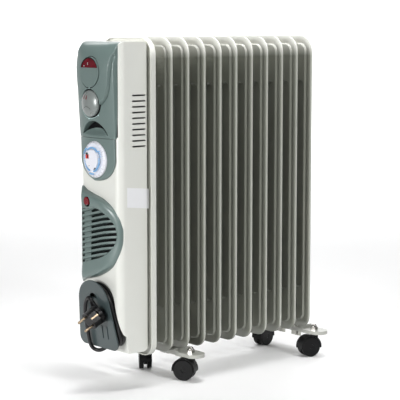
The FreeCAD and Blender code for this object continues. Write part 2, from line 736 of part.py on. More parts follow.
def grille_crown(inset, back):
    """Plan of the bezel: flat front that falls back towards both sides."""
    z0 = 180
    face = GRILLE_FACE + inset
    far = FRONT - 1 + inset
    near = FRONT + 5 + inset
    points = [Vector(back, 54, z0), Vector(far, 54, z0), Vector(face, 38, z0),
              Vector(face, -18, z0), Vector(near, -60, z0), Vector(back, -60, z0)]
    edges = [Part.LineSegment(points[0], points[1]).toShape(),
             Part.LineSegment(points[1], points[2]).toShape(),
             Part.LineSegment(points[2], points[3]).toShape(),
             Part.Arc(points[3], Vector(face + 5.5, -43, z0), points[4]).toShape(),
             Part.LineSegment(points[4], points[5]).toShape(),
             Part.LineSegment(points[5], points[0]).toShape()]
    return Part.Face(Part.Wire(edges)).extrude(Vector(0, 0, 200))


def grille_block(inset):
    back = FRONT + 8
    walls = Part.makeLoft([wire_yz(grille_outline(inset), back),
                           wire_yz(grille_front_outline(inset), GRILLE_FACE - 0.5)], True, True)
    return walls.common(grille_crown(inset, back + 1))


LOUVRE = [(60, 324), (-5, 333, 12), (-43, 315, 30), (-55, 297, 14), (-55, 279, 14),
          (-33, 254, 25), (60, 225)]


def louvre_blades(face):
    """Row of slats across the opening, each rising towards the near side."""
    slats = []
    for index in range(BLADE_COUNT):
        slat = box(face + 1, FRONT - 3, -100, 60, -BLADE_THICKNESS / 2, BLADE_THICKNESS / 2)
        slat.rotate(Vector(face, 0, 0), Vector(0, 1, 0), -12)
        slat.rotate(Vector(0, 33, 0), Vector(1, 0, 0), -BLADE_TILT)
        slat.translate(Vector(0, 0, BLADE_LOWEST + index * BLADE_PITCH))
        slats.append(slat)
    return slats


def fan_grille():
    outer = grille_block(0).cut(housing_block(-SEAT_GAP))
    hollow = grille_block(WALL)
    opening = prism_x(LOUVRE, GRILLE_FACE - 5, FRONT)
    seat = outer.common(box(GRILLE_FACE, FRONT - 5, -2, 36, BUTTON_Z - 12, BUTTON_Z + 13))
    bezel = outer.cut(hollow).fuse(seat).cut(opening)
    inside = outer.common(opening)
    slats = [slat.common(inside) for slat in louvre_blades(GRILLE_FACE)]
    rib = inside.common(box(FRONT - 6, FRONT - 3, -17, -6, 230, 340))
    blank = inside.common(box(GRILLE_FACE + 4, GRILLE_FACE + 6, 16, 60, 200, 340))
    bezel = bezel.fuse(slats + [rib, blank])
    well = [(BUTTON_Y, BUTTON_Z - 9, 0), (BUTTON_Y, BUTTON_Z + 9, 0), (BUTTON_Y - 19, BUTTON_Z + 5, 4),
            (BUTTON_Y - 19, BUTTON_Z - 4, 4)]
    recess = prism_x(well, GRILLE_FACE - 1, GRILLE_FACE + 4)
    bore = rod_x(GRILLE_FACE - 1, FRONT + 1, BUTTON_Y, BUTTON_Z, BUTTON_RADIUS + 0.3)
    return bezel.cut([recess, bore]).removeSplitter()


def fan_button():
    front = GRILLE_FACE - 1
    cap = rod_x(front, front + 9, BUTTON_Y, BUTTON_Z, BUTTON_RADIUS)
    rims = [edge for edge in cap.Edges
            if edge.BoundBox.XLength < 0.01 and edge.BoundBox.XMax < front + 0.1]
    cap = cap.makeChamfer(1.0, rims)
    stem = rod_x(front + 9, INSIDE_FRONT + 1, BUTTON_Y, BUTTON_Z, 2.5)
    return fused([cap, stem])


def fan_switch():
    case = box(INSIDE_FRONT, INSIDE_FRONT + 16, BUTTON_Y - 10, BUTTON_Y + 10,
               BUTTON_Z - 8, BUTTON_Z + 8)
    well = rod_x(INSIDE_FRONT - 1, INSIDE_FRONT + 2 + BUTTON_TRAVEL, BUTTON_Y, BUTTON_Z, 3.2)
    tabs = [box(INSIDE_FRONT + 16, INSIDE_FRONT + 22, BUTTON_Y + y, BUTTON_Y + y + 0.8,
                BUTTON_Z - 2.5, BUTTON_Z + 2.5) for y in (-6, 5)]
    return fused([case] + tabs).cut(well)


def fan_scroll():
    depth = 30.0
    ring = rod_x(INSIDE_FRONT, INSIDE_FRONT + depth, 0, FAN_Z, SCROLL_RADIUS)
    bore = rod_x(INSIDE_FRONT - 1, INSIDE_FRONT + depth + 1, 0, FAN_Z, SCROLL_RADIUS - SHEET)
    return ring.cut(bore)


def fan_motor():
    can = rod_x(BACK_FACE - MOTOR_LENGTH, BACK_FACE, 0, FAN_Z, MOTOR_RADIUS)
    nose = rod_x(BACK_FACE - MOTOR_LENGTH - 4, BACK_FACE - MOTOR_LENGTH, 0, FAN_Z, 6)
    shaft = rod_x(BACK_FACE - MOTOR_LENGTH - 24, BACK_FACE - MOTOR_LENGTH, 0, FAN_Z, MOTOR_SHAFT)
    return fused([can, nose, shaft])


def fan_impeller():
    blades = 5
    back = BACK_FACE - MOTOR_LENGTH - 6
    front = back - 18
    hub = rod_x(front, back, 0, FAN_Z, 10)
    solids = [hub]
    for index in range(blades):
        blade = box(front + 2, back - 2, -0.8, 0.8, 8, IMPELLER_RADIUS - 1)
        blade.rotate(Vector((front + back) / 2, 0, 0), Vector(0, 0, 1), 35)
        blade = blade.common(box(front, back, -20, 20, 0, IMPELLER_RADIUS))
        blade.rotate(Vector(0, 0, 0), Vector(1, 0, 0), 360 * index / blades)
        blade.translate(Vector(0, 0, FAN_Z))
        solids.append(blade)
    bore = rod_x(front - 1, back + 1, 0, FAN_Z, MOTOR_SHAFT + RUNNING_CLEARANCE)
    return fused(solids).cut(bore)


# ---------------------------------------------------------------- cord winder
def cord_winder():
    """Leaning flap on a hollow core, with a half-moon hole and two small ribs."""
    flap_back = -FLAP_GAP
    flap_front = flap_back - FLAP_THICKNESS
    flap = prism_x(arch(FLAP_ARCH, FLAP_ARCH_CENTRE, FLAP_FLARE, FLAP_BOTTOM, 14),
                   flap_front, flap_back)
    width = 2 * CORE_HALF_WIDTH
    bottom = CORE_TOP - CORE_HEIGHT
    core = prism_x(stadium(width, bottom, CORE_HEIGHT, 0), flap_back, 0)
    hollow = prism_x(stadium(width - 6, bottom + 3, CORE_HEIGHT - 6, 0), flap_back, 0)
    hole = rod_x(flap_front - 1, flap_back + 1, 0, -31, 11)
    hole = hole.common(box(flap_front - 1, flap_back + 1, -20, 20, -29, 0))
    ribs = [box(flap_front - RIB_PROUD, flap_front, y - 1, y + 1, RIB_BOTTOM, RIB_TOP)
            for y in RIB_PLACES]
    return lean(fused([flap, core.cut(hollow)] + ribs).cut(hole))


def coil_corners():
    return arch(SCOOP_ARCH - COIL_CLEARANCE, SCOOP_ARCH_CENTRE, SCOOP_FLARE, COIL_BOTTOM,
                COIL_CORNER)


def cord_coil():
    """Outer shape of the wound cord, two layers deep."""
    thickness = 4 * CORD_RADIUS
    body = prism_x(coil_corners(), -thickness, 0)
    hole = prism_x(frame_corners(COIL_HOLE_HALF_WIDTH, -98, -29, 4, 18), -thickness - 1, 1)
    return lean(body.cut(hole))


def cord_gland():
    """Cord entry on the scoop floor with a tapered sleeve that points to the far side."""
    rest = 2 * CORD_RADIUS
    base = rod_x(-3, 0, GLAND_Y, GLAND_U, 8)
    body = rod_x(-rest - 6, 0, GLAND_Y, GLAND_U, 6)
    sleeve = Part.makeCone(6, CORD_RADIUS + 0.6, COIL_HOLE_HALF_WIDTH - GLAND_Y,
                           Vector(-rest, GLAND_Y, GLAND_U), Vector(0, 1, 0))
    return lean(fused([base, body, sleeve]))


def tail_route():
    """Free end of the cord: out of the coil, under the flap, up in front, to the plug."""
    into_neck = (NECK_END - plug_shoulder()).normalize()
    return [Vector(-260.3, -33, 82), Vector(-260.6, -21, 80.5), Vector(-261.4, -9.5, 74.5),
            Vector(-263.6, 0.5, 68), Vector(-266.5, 10, 65.5),
            Vector(-273.5, 18, 70.5), Vector(-276.8, 21, 83), Vector(-279.3, 21.9, 98),
            Vector(-282, 22.5, 115), Vector(-284.7, 22.6, 132), Vector(-286.8, 20.5, 146),
            Vector(-288.2, 16, 158.5), Vector(-289.4, 8, 167.3),
            NECK_END + into_neck * 9, NECK_END]


def cord_tail():
    route = tail_route()
    edges = []
    last = route[0]
    for before, corner, after in zip(route, route[1:], route[2:]):
        turn = (corner - before).getAngle(after - corner)
        shorter = min(before.distanceToPoint(corner), corner.distanceToPoint(after))
        radius = 0.45 * shorter / math.tan(turn / 2)
        start, middle, end = corner_arc(before, corner, after, radius)
        print("cord radius %.1f turn %.1f" % (radius, math.degrees(turn)))
        edges.append(Part.LineSegment(last, start).toShape())
        edges.append(Part.Arc(start, middle, end).toShape())
        last = end
    edges.append(Part.LineSegment(last, route[-1]).toShape())
    path = Part.Wire(edges)
    section = Part.Wire(Part.Circle(route[0], route[1] - route[0], CORD_RADIUS).toShape())
    tube = path.makePipeShell([section], True, False)
    length = path.Length
    print("cord tail length %.1f volume ratio %.4f"
          % (length, tube.Volume / (length * math.pi * CORD_RADIUS ** 2)))
    return tube


# ---------------------------------------------------------------- plug
def pin_line():
    """Direction from one pin to the other, square to the pins."""
    up = PIN_AXIS.cross(Vector(0, -1, 0)).normalize()
    return (Vector(0, -1, 0) * 0.515 + up * -0.857).normalize()


def plug_place():
    axis = PIN_AXIS.normalize()
    across = pin_line()
    third = axis.cross(across)
    matrix = FreeCAD.Matrix(across.x, third.x, axis.x, PIN_ROOT.x,
                            across.y, third.y, axis.y, PIN_ROOT.y,
                            across.z, third.z, axis.z, PIN_ROOT.z,
                            0, 0, 0, 1)
    return FreeCAD.Placement(matrix)


PLUG_BOSS = 17.0
PLUG_BACK = 12.0


def plug_shoulder():
    return plug_place().multVec(Vector(0, 0, -PLUG_BOSS - PLUG_BACK / 2))


def plug_body():
    """Angled earthed plug: flattened boss, rounded back and a tapered cord neck."""
    flat = 14.5
    boss = rod_z(0, 0, -PLUG_BOSS, 0, 17).common(box(-20, 20, -flat, flat, -20, 0))
    back = rod_z(0, 0, -PLUG_BOSS - PLUG_BACK, -PLUG_BOSS, 18)
    rims = [edge for edge in back.Edges
            if edge.BoundBox.ZLength < 0.01 and edge.BoundBox.ZMax < -PLUG_BOSS - 1]
    back = back.makeChamfer(5, rims)
    holes = [rod_z(x, 0, -PIN_SHANK_DEPTH, 1, PIN_SHANK_RADIUS)
             for x in (-PIN_SPACING / 2, PIN_SPACING / 2)]
    body = fused([boss, back]).cut(holes)
    body.Placement = plug_place()
    shoulder = plug_shoulder()
    reach = NECK_END - shoulder
    neck = Part.makeCone(8.5, 4.6, reach.Length, shoulder, reach)
    return body.fuse(neck).removeSplitter()


def plug_pins():
    """Two round pins with their roots in the body, and the two side earth strips."""
    solids = []
    for x in (-PIN_SPACING / 2, PIN_SPACING / 2):
        shank = rod_z(x, 0, -PIN_SHANK_DEPTH, PIN_SHOULDER, PIN_SHANK_RADIUS)
        pin = rod_z(x, 0, PIN_SHOULDER, PIN_LENGTH - PIN_RADIUS, PIN_RADIUS)
        tip = Part.makeSphere(PIN_RADIUS, Vector(x, 0, PIN_LENGTH - PIN_RADIUS))
        solids.append(fused([shank, pin, tip]))
    for side in (-1, 1):
        strip = box(-STRIP_WIDTH / 2, STRIP_WIDTH / 2, 0, 0.8, -PLUG_BOSS + 1, -0.5)
        strip.translate(Vector(0, 14.5 if side > 0 else -15.3, 0))
        solids.append(strip)
    pins = Part.makeCompound(solids)
    pins.Placement = plug_place()
    return pins


# ---------------------------------------------------------------- feet
def foot(x):
    """Pressed bracket: two rimmed ears and an upward channel under the fins."""
    half = FOOT_WIDTH / 2
    straight = FOOT_HALF_LENGTH - half
    round_end = half - 0.01

    def outline(inset):
        wide = half - inset
        long = straight + half - inset
        corner = round_end - inset
        return [(x - wide, -long, corner), (x + wide, -long, corner),
                (x + wide, long, corner), (x - wide, long, corner)]

    ear_limit = box(x - half, x + half, -CHANNEL_HALF_LENGTH, CHANNEL_HALF_LENGTH, 0, 100)
    ears = prism_z(outline(0), EAR_TOP - FOOT_SHEET, EAR_TOP).cut(ear_limit)
    rim = prism_z(outline(0), FOOT_FLOOR, EAR_TOP).cut(prism_z(outline(SHEET), 0, 100))
    rim = rim.cut(ear_limit)
    floor = box(x - half, x + half, -CHANNEL_HALF_LENGTH, CHANNEL_HALF_LENGTH,
                FOOT_FLOOR, FOOT_FLOOR + FOOT_SHEET)
    sides = [box(start, start + SHEET, -CHANNEL_HALF_LENGTH, CHANNEL_HALF_LENGTH,
                 FOOT_FLOOR, FIN_BOTTOM - 3) for start in (x - half, x + half - SHEET)]
    steps = [box(x - half, x + half, y, y + FOOT_SHEET, FOOT_FLOOR, EAR_TOP)
             for y in (-CHANNEL_HALF_LENGTH, CHANNEL_HALF_LENGTH - FOOT_SHEET)]
    saddles = [box(x - half, x + half, y, y + FOOT_SHEET, FOOT_FLOOR, FIN_BOTTOM)
               for y in (-44, 44 - FOOT_SHEET)]
    holes = [rod_z(x, y, 0, 100, STEM_RADIUS + 0.1) for y in (-STEM_Y, STEM_Y)]
    clamp_x = clamp_place(x)
    holes += [rod_z(clamp_x, y, 0, 100, U_BOLT_RADIUS + 0.5) for y in (-clamp_y(), clamp_y())]
    return fused([ears, rim, floor] + sides + steps + saddles).cut(holes)


def clamp_place(foot_x):
    """U-bolts sit in the gap beside the nearest fin, or on the last hub's stub."""
    if foot_x > LAST_FIN_X:
        return LAST_FIN_X + END_STUB - 5
    gap = math.floor((foot_x - FIRST_FIN_X) / FIN_PITCH) + 0.5
    return FIRST_FIN_X + gap * FIN_PITCH


def clamp_y():
    return HUB_RADIUS + U_BOLT_RADIUS + RUNNING_CLEARANCE


def u_bolt(x):
    reach = clamp_y()
    bottom = FOOT_FLOOR - 12
    legs = [rod_z(x, y, bottom, LOWER_HUB_Z, U_BOLT_RADIUS) for y in (-reach, reach)]
    ring = Part.makeTorus(reach, U_BOLT_RADIUS, Vector(x, 0, LOWER_HUB_Z), Vector(1, 0, 0))
    bow = ring.common(box(x - 5, x + 5, -40, 40, LOWER_HUB_Z, LOWER_HUB_Z + 40))
    return fused(legs + [bow])


def wing_nut(x, y):
    top = FOOT_FLOOR
    barrel = rod_z(x, y, top - 8, top, 6)
    wings = [box(x - 1.2, x + 1.2, y + start, y + start + 9, top - 12, top - 2)
             for start in (-13, 4)]
    bore = rod_z(x, y, top - 13, top + 1, U_BOLT_RADIUS + RUNNING_CLEARANCE)
    return fused([barrel] + wings).cut(bore)


def foot_clamps():
    solids = []
    for foot_x in (FRONT_FOOT_X, REAR_FOOT_X):
        x = clamp_place(foot_x)
        solids.append(u_bolt(x))
        solids += [wing_nut(x, y) for y in (-clamp_y(), clamp_y())]
    return Part.makeCompound(solids)


# ---------------------------------------------------------------- casters
# Stem positions, and the direction from stem to axle as an angle from +X
CASTERS = [("1", FRONT_FOOT_X, -STEM_Y, 122.0), ("2", FRONT_FOOT_X, STEM_Y, 235.0),
           ("3", REAR_FOOT_X, -STEM_Y, 166.0), ("4", REAR_FOOT_X, STEM_Y, 190.0)]


def caster_stem(x, y):
    """Stepped stem: collar under the ear, thread above it, pivot below."""
    under_ear = EAR_TOP - FOOT_SHEET
    collar = rod_z(x, y, under_ear - 4.7, under_ear, COLLAR_RADIUS)
    pin = rod_z(x, y, under_ear - 14, EAR_TOP + 7, STEM_RADIUS)
    return fused([collar, pin])


def dome_nut(x, y):
    flats = 5.5
    ring = [Vector(x + NUT_RADIUS * math.cos(math.radians(60 * i)),
                   y + NUT_RADIUS * math.sin(math.radians(60 * i)), EAR_TOP) for i in range(7)]
    hexagon = Part.Face(Part.makePolygon(ring)).extrude(Vector(0, 0, flats))
    dome_radius = NUT_HEIGHT - flats
    dome = Part.makeSphere(dome_radius, Vector(x, y, EAR_TOP + flats))
    dome = dome.common(box(x - 10, x + 10, y - 10, y + 10, EAR_TOP + flats, EAR_TOP + NUT_HEIGHT))
    bore = rod_z(x, y, EAR_TOP - 1, EAR_TOP + 7.5, STEM_RADIUS + RUNNING_CLEARANCE)
    return fused([hexagon, dome]).cut(bore)


def turned(shape, x, y, angle):
    """From the caster's own frame (stem on the Z axis, axle along Y) to its place."""
    placed = shape.copy()
    placed.rotate(Vector(0, 0, 0), Vector(0, 0, 1), angle)
    placed.translate(Vector(x, y, 0))
    return placed


def caster_hood():
    """Fender over the twin wheels, the web between them, and the neck with its bore."""
    half = WEB_WIDTH / 2 + WHEEL_GAP + WHEEL_WIDTH
    inner = WHEEL_RADIUS + 0.7
    outer = inner + 1.8
    neck_top = EAR_TOP - FOOT_SHEET - 5
    z = WHEEL_RADIUS
    cover = rod_y(CASTER_OFFSET, -half, half, z, outer)
    cover = cover.cut(rod_y(CASTER_OFFSET, -half - 1, half + 1, z, inner))
    cover = cover.cut(box(-50, 80, -20, 20, -10, z - 3))
    web = rod_y(CASTER_OFFSET, -WEB_WIDTH / 2, WEB_WIDTH / 2, z, inner + 0.5)
    web = web.cut(box(-50, 80, -20, 20, -10, z - 8))
    neck = rod_z(0, 0, z + 10, neck_top, COLLAR_RADIUS)
    neck = neck.cut(rod_y(CASTER_OFFSET, -half, half, z, inner + 0.2))
    stem_bottom = EAR_TOP - FOOT_SHEET - 14
    bore = rod_z(0, 0, stem_bottom - 0.5, neck_top + 1, STEM_RADIUS + RUNNING_CLEARANCE)
    axle_bore = rod_y(CASTER_OFFSET, -half, half, z, AXLE_RADIUS + RUNNING_CLEARANCE)
    return fused([cover, web, neck]).cut([bore, axle_bore])


def caster_axle():
    half = WEB_WIDTH / 2 + WHEEL_GAP + WHEEL_WIDTH
    pin = rod_y(CASTER_OFFSET, -half + 0.6, half - 0.6, WHEEL_RADIUS, AXLE_RADIUS)
    heads = [rod_y(CASTER_OFFSET, y, y + 1.0, WHEEL_RADIUS, AXLE_RADIUS + 1.6)
             for y in (-half + 0.6, half - 1.6)]
    return fused([pin] + heads)


def caster_wheel(side):
    inner = WEB_WIDTH / 2 + WHEEL_GAP
    outer = inner + WHEEL_WIDTH
    tread = rod_y(CASTER_OFFSET, inner, outer, WHEEL_RADIUS, WHEEL_RADIUS)
    rims = [edge for edge in tread.Edges if edge.BoundBox.YLength < 0.01]
    tread = tread.makeChamfer(1.2, rims)
    bore = rod_y(CASTER_OFFSET, inner - 1, outer + 1, WHEEL_RADIUS, AXLE_RADIUS + RUNNING_CLEARANCE)
    well = rod_y(CASTER_OFFSET, outer - 2, outer + 1, WHEEL_RADIUS, AXLE_RADIUS + 2.0)
    wheel = tread.cut([bore, well])
    if side < 0:
        wheel = wheel.mirror(Vector(0, 0, 0), Vector(0, 1, 0))
    return wheel


# ---------------------------------------------------------------- build
def build():
    for index in range(FIN_COUNT):
        save(fin(index), "fin_%02d" % (index + 1))
    pieces = [heating_element, filler_plug, housing_shell, housing_back, control_panel,
              panel_disc, pilot_lens, pilot_lamp, selector_knob, thermostat, timer_panel,
              timer_case, timer_ring, timer_tappets, timer_centre, timer_switch, fan_grille,
              fan_button, fan_switch, fan_scroll, fan_motor, fan_impeller, cord_winder,
              cord_gland, cord_coil, cord_tail, plug_body, plug_pins, foot_clamps]
    for piece in pieces:
        save(piece(), piece.__name__)
    save(foot(FRONT_FOOT_X), "foot_front")
    save(foot(REAR_FOOT_X), "foot_rear")
    save(Part.makeCompound([dome_nut(x, y) for name, x, y, angle in CASTERS]), "caster_nuts")
    save(Part.makeCompound([caster_stem(x, y) for name, x, y, angle in CASTERS]), "caster_stems")
    for name, x, y, angle in CASTERS:
        save(turned(caster_hood(), x, y, angle), "caster_hood_" + name)
        save(turned(caster_axle(), x, y, angle), "caster_axle_" + name)
        save(turned(caster_wheel(1), x, y, angle), "caster_wheel_" + name + "a")
        save(turned(caster_wheel(-1), x, y, angle), "caster_wheel_" + name + "b")


build()
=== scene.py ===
"""Oil filled radiator heater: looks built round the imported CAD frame.

The camera, lights, floor and cord are in metres. The panels, controls and grille are written in
millimetres from the fins' middle, and at() brings them to the heater's frame.
"""
import math

import bmesh
import bpy
from mathutils import Matrix, Vector


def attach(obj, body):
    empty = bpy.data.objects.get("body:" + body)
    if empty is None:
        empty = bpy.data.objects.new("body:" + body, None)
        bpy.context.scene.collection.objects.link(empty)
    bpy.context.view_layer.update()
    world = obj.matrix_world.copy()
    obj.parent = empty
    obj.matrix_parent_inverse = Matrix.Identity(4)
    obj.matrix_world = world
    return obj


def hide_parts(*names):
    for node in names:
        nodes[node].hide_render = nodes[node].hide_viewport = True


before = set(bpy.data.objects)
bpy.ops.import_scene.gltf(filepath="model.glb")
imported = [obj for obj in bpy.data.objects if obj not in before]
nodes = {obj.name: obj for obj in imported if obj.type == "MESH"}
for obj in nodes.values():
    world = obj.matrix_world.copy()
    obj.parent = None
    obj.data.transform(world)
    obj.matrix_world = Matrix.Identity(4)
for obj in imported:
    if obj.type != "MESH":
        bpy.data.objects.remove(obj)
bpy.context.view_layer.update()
SHIFT = 0.031          # where the fins' middle lies along the heater's X
MICRON = 0.000001


def link_new(name, data):
    """Object for a mesh, curve, light or camera, put in the scene."""
    made = bpy.data.objects.new(name, data)
    bpy.context.scene.collection.objects.link(made)
    return made


# ---------------------------------------------------------------- camera
CAMERA_PLACE = Vector((-1.8137, -2.1591, 0.6743))
CAMERA_TARGET = Vector((0.0021, 0.0, 0.3266))
CAMERA_LENS = 133.45   # millimetres, on a 36 mm sensor
SENSOR_WIDTH = 36.0
VIEW_DEPTH = 50.0


def aim(thing, place, target):
    """Stand a camera or light at a place, looking at a target."""
    thing.location = place
    thing.rotation_euler = (Vector(target) - Vector(place)).to_track_quat("-Z", "Y").to_euler()


def add_camera():
    data = bpy.data.cameras.new("photo_camera")
    data.lens = CAMERA_LENS
    data.sensor_width = SENSOR_WIDTH
    data.clip_end = VIEW_DEPTH
    camera = link_new("photo_camera", data)
    aim(camera, CAMERA_PLACE, CAMERA_TARGET)
    bpy.context.scene.camera = camera


# ---------------------------------------------------------------- materials
def lin(red, green, blue):
    """sRGB 0-255 to the linear colour a shader wants."""
    return [((c / 255.0) / 12.92 if c <= 10 else ((c / 255.0 + 0.055) / 1.055) ** 2.4)
            for c in (red, green, blue)] + [1.0]


def shader(name):
    """New material with its node tree, its main shader and its object coordinates."""
    material = bpy.data.materials.new(name)
    material.use_nodes = True
    tree = material.node_tree
    place = tree.nodes.new("ShaderNodeTexCoord").outputs["Object"]
    return material, tree, tree.nodes["Principled BSDF"], place


def noise(tree, place, scale, detail=3.0):
    node = tree.nodes.new("ShaderNodeTexNoise")
    node.inputs["Scale"].default_value = scale
    node.inputs["Detail"].default_value = detail
    node.inputs["Roughness"].default_value = 0.55
    tree.links.new(place, node.inputs["Vector"])
    return node.outputs["Fac"]


def ramp(tree, fac, stops):
    """Colour ramp over a value; the stops are (place, colour) pairs."""
    node = tree.nodes.new("ShaderNodeValToRGB")
    for element, (place, colour) in zip(node.color_ramp.elements, stops):
        element.position = place
        element.color = colour
    tree.links.new(fac, node.inputs["Fac"])
    return node.outputs["Color"]


def map_range(tree, value, start, end, low=0.0, high=1.0):
    """Value taken from start..end to low..high and held there outside."""
    node = tree.nodes.new("ShaderNodeMapRange")
    node.inputs["From Min"].default_value = start
    node.inputs["From Max"].default_value = end
    node.inputs["To Min"].default_value = low
    node.inputs["To Max"].default_value = high
    tree.links.new(value, node.inputs["Value"])
    return node.outputs["Result"]


def uneven_gloss(tree, bsdf, fac, low, high):
    """Roughness that wanders between two values with a noise."""
    tree.links.new(map_range(tree, fac, 0.3, 0.7, low, high), bsdf.inputs["Roughness"])


def add_bump(tree, bsdf, height, strength, distance):
    node = tree.nodes.new("ShaderNodeBump")
    node.inputs["Strength"].default_value = strength
    node.inputs["Distance"].default_value = distance
    tree.links.new(height, node.inputs["Height"])
    tree.links.new(node.outputs["Normal"], bsdf.inputs["Normal"])


def mix_colours(tree, factor, first, second):
    blend = tree.nodes.new("ShaderNodeMix")
    blend.data_type = "RGBA"
    tree.links.new(factor, blend.inputs["Factor"])
    tree.links.new(first, blend.inputs["A"])
    tree.links.new(second, blend.inputs["B"])
    return blend.outputs["Result"]


def tone(colour, factor):
    return [c * factor for c in colour[:3]] + [1.0]


def mottled(tree, fac, colour, amount, reach):
    """Colour that is a little darker and lighter in patches; reach is the ramp's half width."""
    return ramp(tree, fac, [(0.5 - reach, tone(colour, 1 - amount)),
                            (0.5 + reach, tone(colour, 1 + amount))])


def finish(name, colour, rough, grain, grain_depth, mottle, mottle_scale,
           metallic=0.0, coat=0.0, specular=0.5, uneven=0.15):
    """Painted, moulded or metal surface: mottled colour, uneven gloss and a fine grain.

    grain and mottle_scale are noise scales, grain_depth is in microns, and mottle and uneven
    are shares of the colour and of the roughness.
    """
    material, tree, bsdf, place = shader(name)
    patches = noise(tree, place, mottle_scale, 4.0)
    tree.links.new(mottled(tree, patches, colour, mottle, 0.18), bsdf.inputs["Base Color"])
    uneven_gloss(tree, bsdf, noise(tree, place, mottle_scale * 4, 5.0),
                 rough * (1 - uneven), rough * (1 + uneven))
    add_bump(tree, bsdf, noise(tree, place, grain, 2.0), 0.5, grain_depth * MICRON)
    bsdf.inputs["Metallic"].default_value = metallic
    bsdf.inputs["Coat Weight"].default_value = coat
    bsdf.inputs["Coat Roughness"].default_value = 0.12
    bsdf.inputs["Specular IOR Level"].default_value = specular
    return material


def lens_finish(name, colour):
    """Moulded clear red plastic with a rippled back."""
    material, tree, bsdf, place = shader(name)
    ripples = noise(tree, place, 260.0, 2.0)
    tree.links.new(mottled(tree, ripples, colour, 0.25, 0.15), bsdf.inputs["Base Color"])
    add_bump(tree, bsdf, ripples, 0.4, 400.0 * MICRON)
    bsdf.inputs["Roughness"].default_value = 0.22
    bsdf.inputs["Transmission Weight"].default_value = 0.1
    bsdf.inputs["IOR"].default_value = 1.35
    bsdf.inputs["Coat Weight"].default_value = 0.1
    return material


# Where the fin paint changes tone: painted shade on the faces in the gaps, a lighter painted tone
# on the rims and a painted highlight on the top flange.
RIM_START, RIM_END = 0.0685, 0.0715      # the fins' folded rims, each side of the middle
FLANGE_START, FLANGE_END = 0.600, 0.624  # the fins' top flange


def fin_finish(name, gap_shade, lit_rim, top):
    """Fin paint with painted light: painted shade on the faces in the gaps, a lighter tone on the
    rims and a painted highlight on the top flange.
    """
    material, tree, bsdf, place = shader(name)
    split = tree.nodes.new("ShaderNodeSeparateXYZ")
    tree.links.new(place, split.inputs["Vector"])
    side = tree.nodes.new("ShaderNodeMath")
    side.operation = "ABSOLUTE"
    tree.links.new(split.outputs["Y"], side.inputs[0])
    lit_rim_mask = map_range(tree, side.outputs[0], RIM_START, RIM_END)
    lit_top_mask = map_range(tree, split.outputs["Z"], FLANGE_START, FLANGE_END)
    patches = noise(tree, place, 12.0)
    tones = [mottled(tree, patches, colour, 0.02, 0.2) for colour in (gap_shade, lit_rim, top)]
    # The painted shade on the faces gives way to the lit rim tone, then to the painted highlight on
    # top.
    faces = mix_colours(tree, lit_rim_mask, tones[0], tones[1])
    tree.links.new(mix_colours(tree, lit_top_mask, faces, tones[2]), bsdf.inputs["Base Color"])
    uneven_gloss(tree, bsdf, noise(tree, place, 50.0), 0.17, 0.23)
    add_bump(tree, bsdf, noise(tree, place, 300.0, 2.0), 0.4, 10.0 * MICRON)
    bsdf.inputs["Coat Weight"].default_value = 0.5
    bsdf.inputs["Coat Roughness"].default_value = 0.10
    return material


